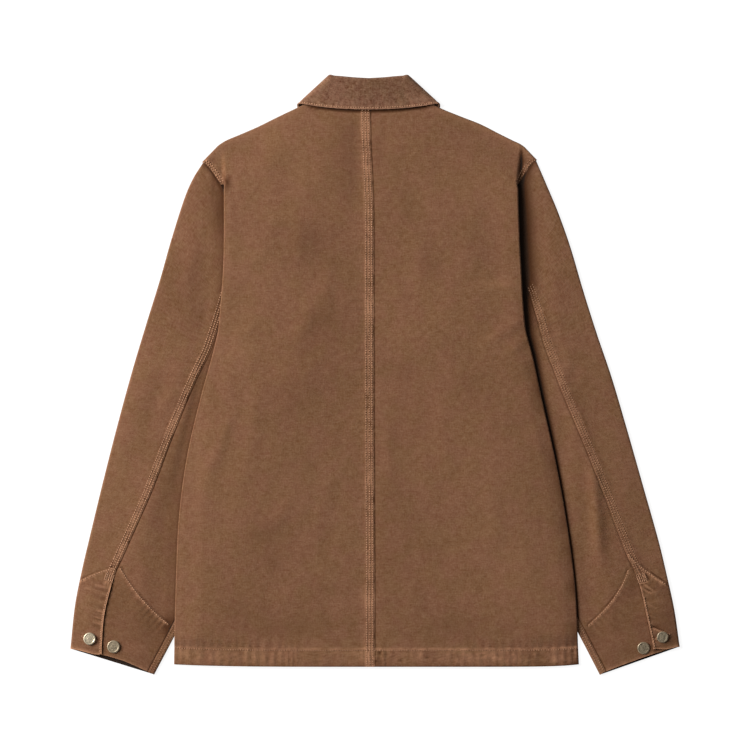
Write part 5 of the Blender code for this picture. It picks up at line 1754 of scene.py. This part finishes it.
# Each kind of row: the pitch as a share of the jacket's own, a stitch's length, width and height
# and the length of the dark dot of painted shade at its needle hole in millimetres, how far a
# stitch turns, and its thread.
STITCH_KINDS = {row["kind"]: row for row in named_rows(
    "kind pitch length width height hole turn thread", (
        ("seam",    1.0, 2.2, 1.9, 1.3, 1.05, 0.0, "sewing_thread"),
        ("worn",    1.0, 2.2, 1.4, 1.0, 1.1, 0.0, "worn_sewing_thread"),
        ("faint",   1.0, 1.7, 1.1, 0.8, 1.0, 0.0, "worn_sewing_thread"),
        ("hem",     1.0, 1.8, 1.3, 0.9, 1.3, 0.0, "sewing_thread"),
        ("line",    1.0, 2.9, 1.5, 1.0, 0.8, 0.0, "sewing_thread"),
        ("bartack", 0.7, 2.3, 1.7, 1.6, 1.25, 0.5, "sewing_thread"),
    ))}
# The kind of each row, by the first word of its name or by its whole name.
ROW_KINDS = {
    "back": "seam", "collar": "line", "hem": "hem", "edge": "line", "bartack": "bartack",
    "inner_left": "faint", "inner_right": "worn", "armhole_left": "seam",
    "armhole_right": "worn", "sleeve_left": "seam", "sleeve_right": "worn",
}
SEWN_PIECES = ("back_left", "back_right", "sleeve_left_upper", "sleeve_left_under",
               "sleeve_right_upper", "sleeve_right_under", "collar")


class MakeSewing(bpy.types.Operator):
    """Sews the stitch rows on to the cloth"""
    bl_idname = "jacket.make_sewing"
    bl_label = "Sewing"

    def execute(self, context):
        surfaces = {piece: surface_of(bpy.data.objects[f"{piece}_cloth"])
                    for piece in SEWN_PIECES}

        def on(piece, *paths):
            others = [surfaces[other] for other in SEWN_PIECES if other != piece]
            return [run for path in paths for run in laid(dense(path), surfaces[piece], others)]

        rows = {"back": on("back_left", *centre_rows()), "collar": on("collar", collar_row())}
        for side, word in SIDES:
            upper, under, back = f"sleeve_{word}_upper", f"sleeve_{word}_under", f"back_{word}"
            inner_arc, outer_arc = (rounded_path(arc) for arc in CUFF_ARCS[side])
            hole = buttonhole(side, f"cuff_button_{word}_1")
            rows[f"hem_{word}"] = on(back, hem_row(side))
            rows[f"armhole_{word}"] = on(back, *armhole_rows(side))
            rows[f"sleeve_{word}"] = on(upper, *sleeve_seam_rows(side))
            rows[f"inner_{word}"] = on(upper, *inner_seam_rows(side))
            rows[f"edge_{word}"] = (on(upper, flap_row(side)) + on(under, inner_arc)
                                    + on(upper, outer_arc))
            rows[f"bartack_{word}"] = on(upper, *bartack_rows(side), hole)
        for part, paths in rows.items():
            self.sew(part, paths, context.scene.jacket_finish.stitch_pitch)
        return {"FINISHED"}

    def sew(self, part, paths, pitch):
        """Makes a row's thread, and the dark dots of painted shade between its stitches."""
        kind = STITCH_KINDS[ROW_KINDS.get(part) or ROW_KINDS[part.split("_")[0]]]
        length, width, height, hole = (
            kind[key] * MM for key in ("length", "width", "height", "hole"))
        shared = {"Pitch": kind["pitch"] * pitch * MM, "Turn": kind["turn"], "Seed": len(part)}
        thread = {"Length": length, "Width": width, "Height": height, "Unevenness": 0.14}
        shade_dots = {"Length": hole, "Width": 0.8 * width, "Height": 0.5 * MM, "Unevenness": 0.5}
        between = [path[1:-1] for path in paths if len(path) > 4]
        for name, runs, material, sizes in (("stitches", paths, kind["thread"], thread),
                                            ("painted_stitch_shades", between, "needle_hole", shade_dots)):
            values = {"Thread": material_named(material), **shared, **sizes}
            dress(stitched(f"{part}_{name}", runs, values), material,
                  "collar_canvas" if part == "collar" else "canvas")


class MakeButtons(bpy.types.Operator):
    """Makes the cuffs' buttons"""
    bl_idname = "jacket.make_buttons"
    bl_label = "Buttons"

    def execute(self, context):
        for number, button in enumerate(BUTTONS):
            dress(button_piece(button, 90 + number), "antique_brass", "brass", button["node"])
        return {"FINISHED"}


class MakeStage(bpy.types.Operator):
    """Lays the floor, and sets the lights and the camera"""
    bl_idname = "jacket.make_stage"
    bl_label = "Stage"

    def execute(self, context):
        scene, sizes = context.scene, context.scene.jacket_stage
        half, level = 6.0, -0.0004
        mesh = bpy.data.meshes.new("floor")
        corners = ((-half, -half), (half, -half), (half, half), (-half, half))
        mesh.from_pydata([(x, y, level) for x, y in corners], [], [(0, 1, 2, 3)])
        mesh.materials.append(material_named("pale_floor"))
        linked("floor", mesh)

        camera = scene.camera = linked("camera", bpy.data.cameras.new("camera"))
        camera.data.lens = sizes.lens
        distance = sizes.frame_width / camera.data.sensor_width * sizes.lens
        aim_x, aim_y = 0.0003, -0.0007
        camera.location = (aim_x, aim_y, distance)
        camera.data.clip_end = 3 * distance

        key = bpy.data.lights.new("key", "AREA")
        key.shape, key.size, key.energy = "DISK", 3.2, sizes.key_power
        key.color = (1.0, 0.985, 0.965)
        lamp = linked("key", key)
        toward, away, height = math.radians(158), 5.0, sizes.key_height
        lamp.location = (away * math.cos(height) * math.cos(toward),
                         away * math.cos(height) * math.sin(toward), away * math.sin(height))
        lamp.rotation_euler = Vector(lamp.location).to_track_quat("Z", "Y").to_euler()

        scene.world = bpy.data.worlds.new("studio")
        scene.world.use_nodes = True
        background = scene.world.node_tree.nodes["Background"]
        background.inputs["Color"].default_value = (1.0, 1.0, 1.0, 1.0)
        background.inputs["Strength"].default_value = sizes.fill
        scene.view_settings.view_transform = "Standard"
        return {"FINISHED"}


STEPS = (MakeBack, MakeFronts, MakeSleeves, MakeCollar, MakeSewing, MakeButtons, MakeStage)


class JacketPanel(bpy.types.Panel):
    """Lists the jacket's sizes, colours and steps"""
    bl_idname = "VIEW3D_PT_jacket"
    bl_label = "Chore jacket"
    bl_space_type = "VIEW_3D"
    bl_region_type = "UI"
    bl_category = "Jacket"

    def draw(self, context):
        for group in (context.scene.jacket_finish, context.scene.jacket_stage):
            for name in group.__annotations__:
                self.layout.prop(group, name)
        for step in STEPS:
            self.layout.operator(step.bl_idname)


CLASSES = (JacketFinish, StageSizes, *STEPS, JacketPanel)


def register():
    for each in CLASSES:
        bpy.utils.register_class(each)
    bpy.types.Scene.jacket_finish = bpy.props.PointerProperty(type=JacketFinish)
    bpy.types.Scene.jacket_stage = bpy.props.PointerProperty(type=StageSizes)


def unregister():
    del bpy.types.Scene.jacket_finish
    del bpy.types.Scene.jacket_stage
    for each in reversed(CLASSES):
        bpy.utils.unregister_class(each)


def main():
    register()
    for step in STEPS:
        group, name = step.bl_idname.split(".")
        getattr(getattr(bpy.ops, group), name)()


if __name__ == "__main__":
    main()
